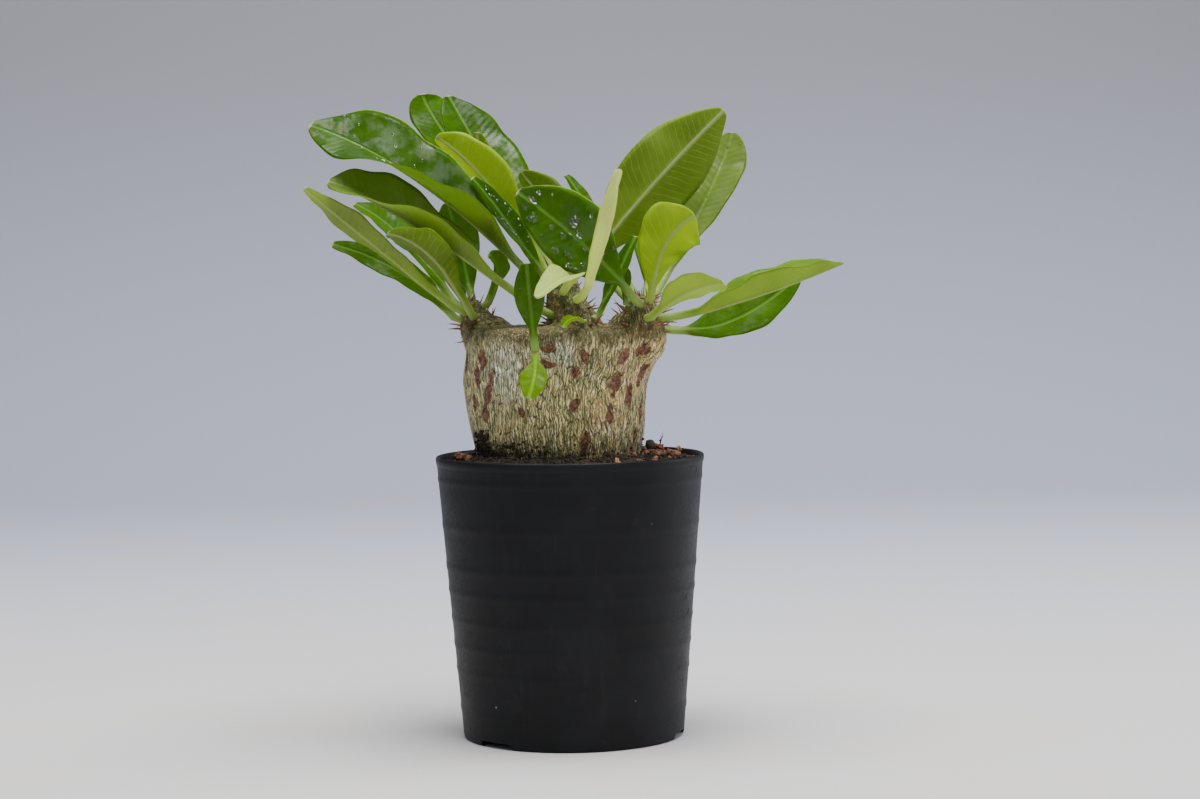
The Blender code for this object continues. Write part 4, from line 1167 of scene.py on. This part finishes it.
def leaf_material(name, kind):
    """The glossy upper skin or the matte underside of one green."""
    tone = TONES[name]
    upper = kind == "top"
    g = Graph(f"leaf_{name}_{kind}", 0.4)
    mm = g.coordinates()
    away, line, pillow, midrib = leaf_veins(g, TOP_CENTRE if upper else UNDER_CENTRE)
    broad = g.noise(mm, 0.085, 3.0, 0.6)
    cells = g.noise(mm, 2.6, 2.0, 0.6)
    edge = g.attribute("edge")
    tip = g.attribute("tip")
    if upper:
        colour = g.mix(g.ramp(broad, 0.38, 0.68), tone.top, tone.top_light)
        rib = tuple(min(1.0, 2.4 * c + 0.04) for c in tone.top_light)
        colour = g.mix(g.times(line, 0.10), colour, rib)
        colour = g.mix(g.times(midrib, 0.60), colour, rib)
    else:
        deep = tuple(0.60 * c for c in tone.under)
        vein = tuple(min(1.0, 1.6 * c + 0.04) for c in tone.under)
        colour = g.mix(g.ramp(broad, 0.38, 0.68), tone.under, deep)
        colour = g.mix(g.times(line, 0.62), colour, vein)
        colour = g.mix(g.times(g.ramp(cells, 0.45, 0.7), 0.22), colour, deep)
        colour = g.mix(g.times(midrib, 0.9), colour, (0.42, 0.50, 0.20))
    pale = g.attribute("pale")
    colour = g.mix(pale, colour, PALE_SKIN)
    colour = g.mix(g.ramp(edge, 0.968, 0.995, 0.0, 0.8), colour, (0.30, 0.48, 0.05))
    colour = g.mix(g.ramp(tip, 0.990, 1.0), colour, (0.62, 0.60, 0.42))
    colour = g.mix(g.ramp(tip, 0.22, 0.03, 0.0, 0.80), colour, (0.40, 0.53, 0.16))
    colour = g.mix(g.ramp(g.cells(mm, 0.33), 0.10, 0.05, 0.0, 0.35), colour, (0.10, 0.075, 0.020))
    g.base(colour)
    if upper:
        sheen = g.times(g.attribute("shine"), g.ramp(g.noise(mm, 0.13, 3.0, 0.6), 0.43, 0.60, 0.15, 1.25))
        sheen = g.times(sheen, g.ramp(tip, 0.66, 0.84, 1.0, 0.30))
        g.feed(g.shader.inputs["Specular IOR Level"], sheen)
        g.rough(g.ramp(broad, 0.3, 0.7, tone.gloss - 0.06, tone.gloss + 0.10))
        relief = g.minus(g.times(pillow, 0.45), g.times(midrib, 1.0))
    else:
        g.shader.inputs["Specular IOR Level"].default_value = 0.25
        g.rough(g.ramp(cells, 0.3, 0.7, 0.52, 0.68))
        relief = g.plus(g.times(line, 0.8), g.times(midrib, 0.8))
    relief = g.plus(relief, g.times(g.noise(mm, 0.55, 3.0), 0.9))
    normal = g.bump(relief, 0.14 if upper else 0.10, 0.8)
    glow = g.node("BsdfTranslucent", {"Normal": normal})
    through = g.mix(g.times(line, 0.30), tone.glow, tuple(0.5 * c for c in tone.glow))
    through = g.mix(midrib, through, tuple(0.5 * c + 0.10 for c in tone.glow))
    g.feed(glow.inputs["Color"], g.mix(pale, through, (0.86, 0.92, 0.38)))
    blend = g.node("MixShader", {0: GLOW_SHARE[kind]})
    g.tree.links.new(g.shader.outputs[0], blend.inputs[1])
    g.tree.links.new(glow.outputs[0], blend.inputs[2])
    g.tree.links.new(blend.outputs[0], g.output.inputs["Surface"])
    return g.material


def build_leaves():
    skins = [(tone, kind) for tone in TONES for kind in ("top", "under")]
    materials = {skin: leaf_material(*skin) for skin in skins}
    for number, leaf in enumerate(LEAVES):
        points, faces, uvs, kinds, edge, tip = leaf_mesh(leaf, leaf_seed(number))
        pair = [materials[leaf.tone, "top"], materials[leaf.tone, "under"]]
        item = link_mesh(leaf.name + "_blade", points, faces, pair, "leaf_" + leaf.tone)
        mesh = item.data
        mesh.polygons.foreach_set("material_index", kinds)
        layer = mesh.uv_layers.new(name="leaf")
        layer.data.foreach_set("uv", np.asarray(uvs, np.float32))
        set_attribute(item, "edge", edge)
        set_attribute(item, "tip", tip)
        set_attribute(item, "pale", np.full(len(points), PALE_LEAVES.get(leaf.name, 0.0)))
        set_attribute(item, "shine", np.full(len(points), SHINY_LEAVES.get(leaf.name, PLAIN_SHINE)))
        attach(item, "root")
        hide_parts(leaf.name)


# ---- water drops


def water_material():
    g = Graph("water_clear", 0.02)
    g.shader.inputs["Base Color"].default_value = (1.0, 1.0, 1.0, 1.0)
    g.shader.inputs["IOR"].default_value = 1.33
    g.shader.inputs["Transmission Weight"].default_value = 0.99
    return g.material


def build_drops():
    """Small beads of water on the upper skins of the wetted leaves."""
    source = random.Random(8)
    by_name = {leaf.name: (leaf, leaf_seed(number)) for number, leaf in enumerate(LEAVES)}
    wet = (
        ("leaf_right_3", 40, 2.8),
        ("leaf_centre_7", 30, 1.1),
        ("leaf_centre_1", 26, 1.2),
        ("leaf_right_4", 9, 1.0),
        ("leaf_front_1", 6, 0.8),
        ("leaf_centre_2", 4, 0.7),
    )
    parts = []
    for name, count, largest in wet:
        leaf, seed = by_name[name]
        for _ in range(count):
            t = np.array([source.uniform(0.35, 0.93)])
            u = np.array([source.uniform(-0.85, 0.85)])
            rows = leaf_curve(leaf, t)
            x, over, _, _ = leaf_surface(leaf, t, u, seed)
            point = leaf_vertex(rows, x, over)[0, 0]
            size = largest * source.uniform(0.25, 1.0) ** 1.6 + 0.3
            normal, side, ahead = rows[2][0], rows[3][0], rows[1][0]
            points = []
            for v in SPHERES[1][0]:
                high = v.z * 0.80 if v.z > 0 else v.z * 0.12
                points.append(tuple(point + (side * v.x + ahead * v.y * 1.15 + normal * high) * (0.5 * size)))
            parts.append((points, SPHERES[1][1]))
    item = link_mesh("water_drops", *join_parts(parts), [water_material()], "leaf_deep")
    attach(item, "root")


# ---- stage, light and camera


# The pale sweep behind and under the object, in metres
SWEEP_FRONT = -40.0
SWEEP_BEND = 0.9
SWEEP_RADIUS = 0.7
SWEEP_TOP = 3.0
SWEEP_HALF_WIDTH = 3.0

LENS = 78.33
SENSOR = 36.0
CAMERA_PLACE = (0.0104, -0.8768, 0.1562)
# Radians
CAMERA_DIP = 0.0493
CAMERA_ROLL = -0.0148


def build_stage():
    """A pale seamless sweep, bluer towards the back and painted darker up the wall: painted shade of the
    light falling off with height.
    """
    g = Graph("sweep_pale", 0.75)
    place = g.node("SeparateXYZ", {0: g.node("TexCoord").outputs["Object"]})
    floor_tint = g.mix(g.ramp(place.outputs[1], -0.05, 0.75), (0.590, 0.583, 0.594), (0.515, 0.552, 0.690))
    # Painted shade: the colour gets darker up the wall, where less light falls.
    colour = g.mix(g.ramp(place.outputs[2], 0.0, 0.42), floor_tint, (0.385, 0.378, 0.420))
    mottle = g.ramp(g.noise(g.coordinates(), 0.011, 3.0), 0.45, 0.62, 0.0, 0.22)
    g.base(g.mix(g.times(mottle, g.ramp(place.outputs[2], 0.02, 0.0)), colour, (0.60, 0.56, 0.51)))
    g.bump(g.noise(g.coordinates(), 0.25, 3.0), 0.2, 0.15)
    points, faces = [], []
    profile = [(SWEEP_FRONT, 0.0), (SWEEP_BEND, 0.0)]
    for a in np.linspace(0.08, math.pi / 2, 20):
        bend = SWEEP_BEND + SWEEP_RADIUS * math.sin(a)
        profile.append((bend, SWEEP_RADIUS * (1 - math.cos(a))))
    profile.append((SWEEP_BEND + SWEEP_RADIUS, SWEEP_TOP))
    for y, z in profile:
        points += [(side * SWEEP_HALF_WIDTH / MM, y / MM, z / MM) for side in (-1, 1)]
    for k in range(len(profile) - 1):
        faces.append((2 * k, 2 * k + 1, 2 * k + 3, 2 * k + 2))
    floor = link_mesh("sweep", points, faces, [g.material], None)


def add_light(name, place, target, size, power, colour):
    data = bpy.data.lights.new(name, "AREA")
    data.shape = "DISK"
    data.size = size
    data.energy = power
    data.color = colour
    item = bpy.data.objects.new(name, data)
    item.location = place
    item.rotation_euler = (Vector(target) - Vector(place)).to_track_quat("-Z", "Y").to_euler()
    bpy.context.scene.collection.objects.link(item)


def build_lights():
    world = bpy.data.worlds.new("soft_sky")
    world.use_nodes = True
    sky = world.node_tree.nodes["Background"].inputs
    sky["Color"].default_value = (0.80, 0.86, 1.0, 1.0)
    sky["Strength"].default_value = 0.42
    bpy.context.scene.world = world
    add_light("overhead", (0.04, -0.10, 1.20), (0.0, 0.0, 0.15), 0.85, 31.0, (1.0, 0.975, 0.92))
    add_light("front_fill", (0.7, -1.5, 0.8), (0.0, 0.0, 0.12), 1.0, 6.0, (1.0, 0.98, 0.95))
    add_light("side_rim", (1.1, 0.35, 0.45), (0.0, 0.0, 0.12), 0.7, 5.0, (0.95, 0.97, 1.0))


def build_camera():
    data = bpy.data.cameras.new("view")
    data.lens = LENS
    data.sensor_width = SENSOR
    camera = bpy.data.objects.new("view", data)
    look = Matrix.Rotation(math.pi / 2 - CAMERA_DIP, 4, "X") @ Matrix.Rotation(CAMERA_ROLL, 4, "Z")
    camera.matrix_world = Matrix.Translation(CAMERA_PLACE) @ look
    bpy.context.scene.collection.objects.link(camera)
    bpy.context.scene.camera = camera


build_stage()
build_lights()
build_camera()
build_pot()
build_soil()
build_caudex()
build_spines()
build_leaves()
build_drops()
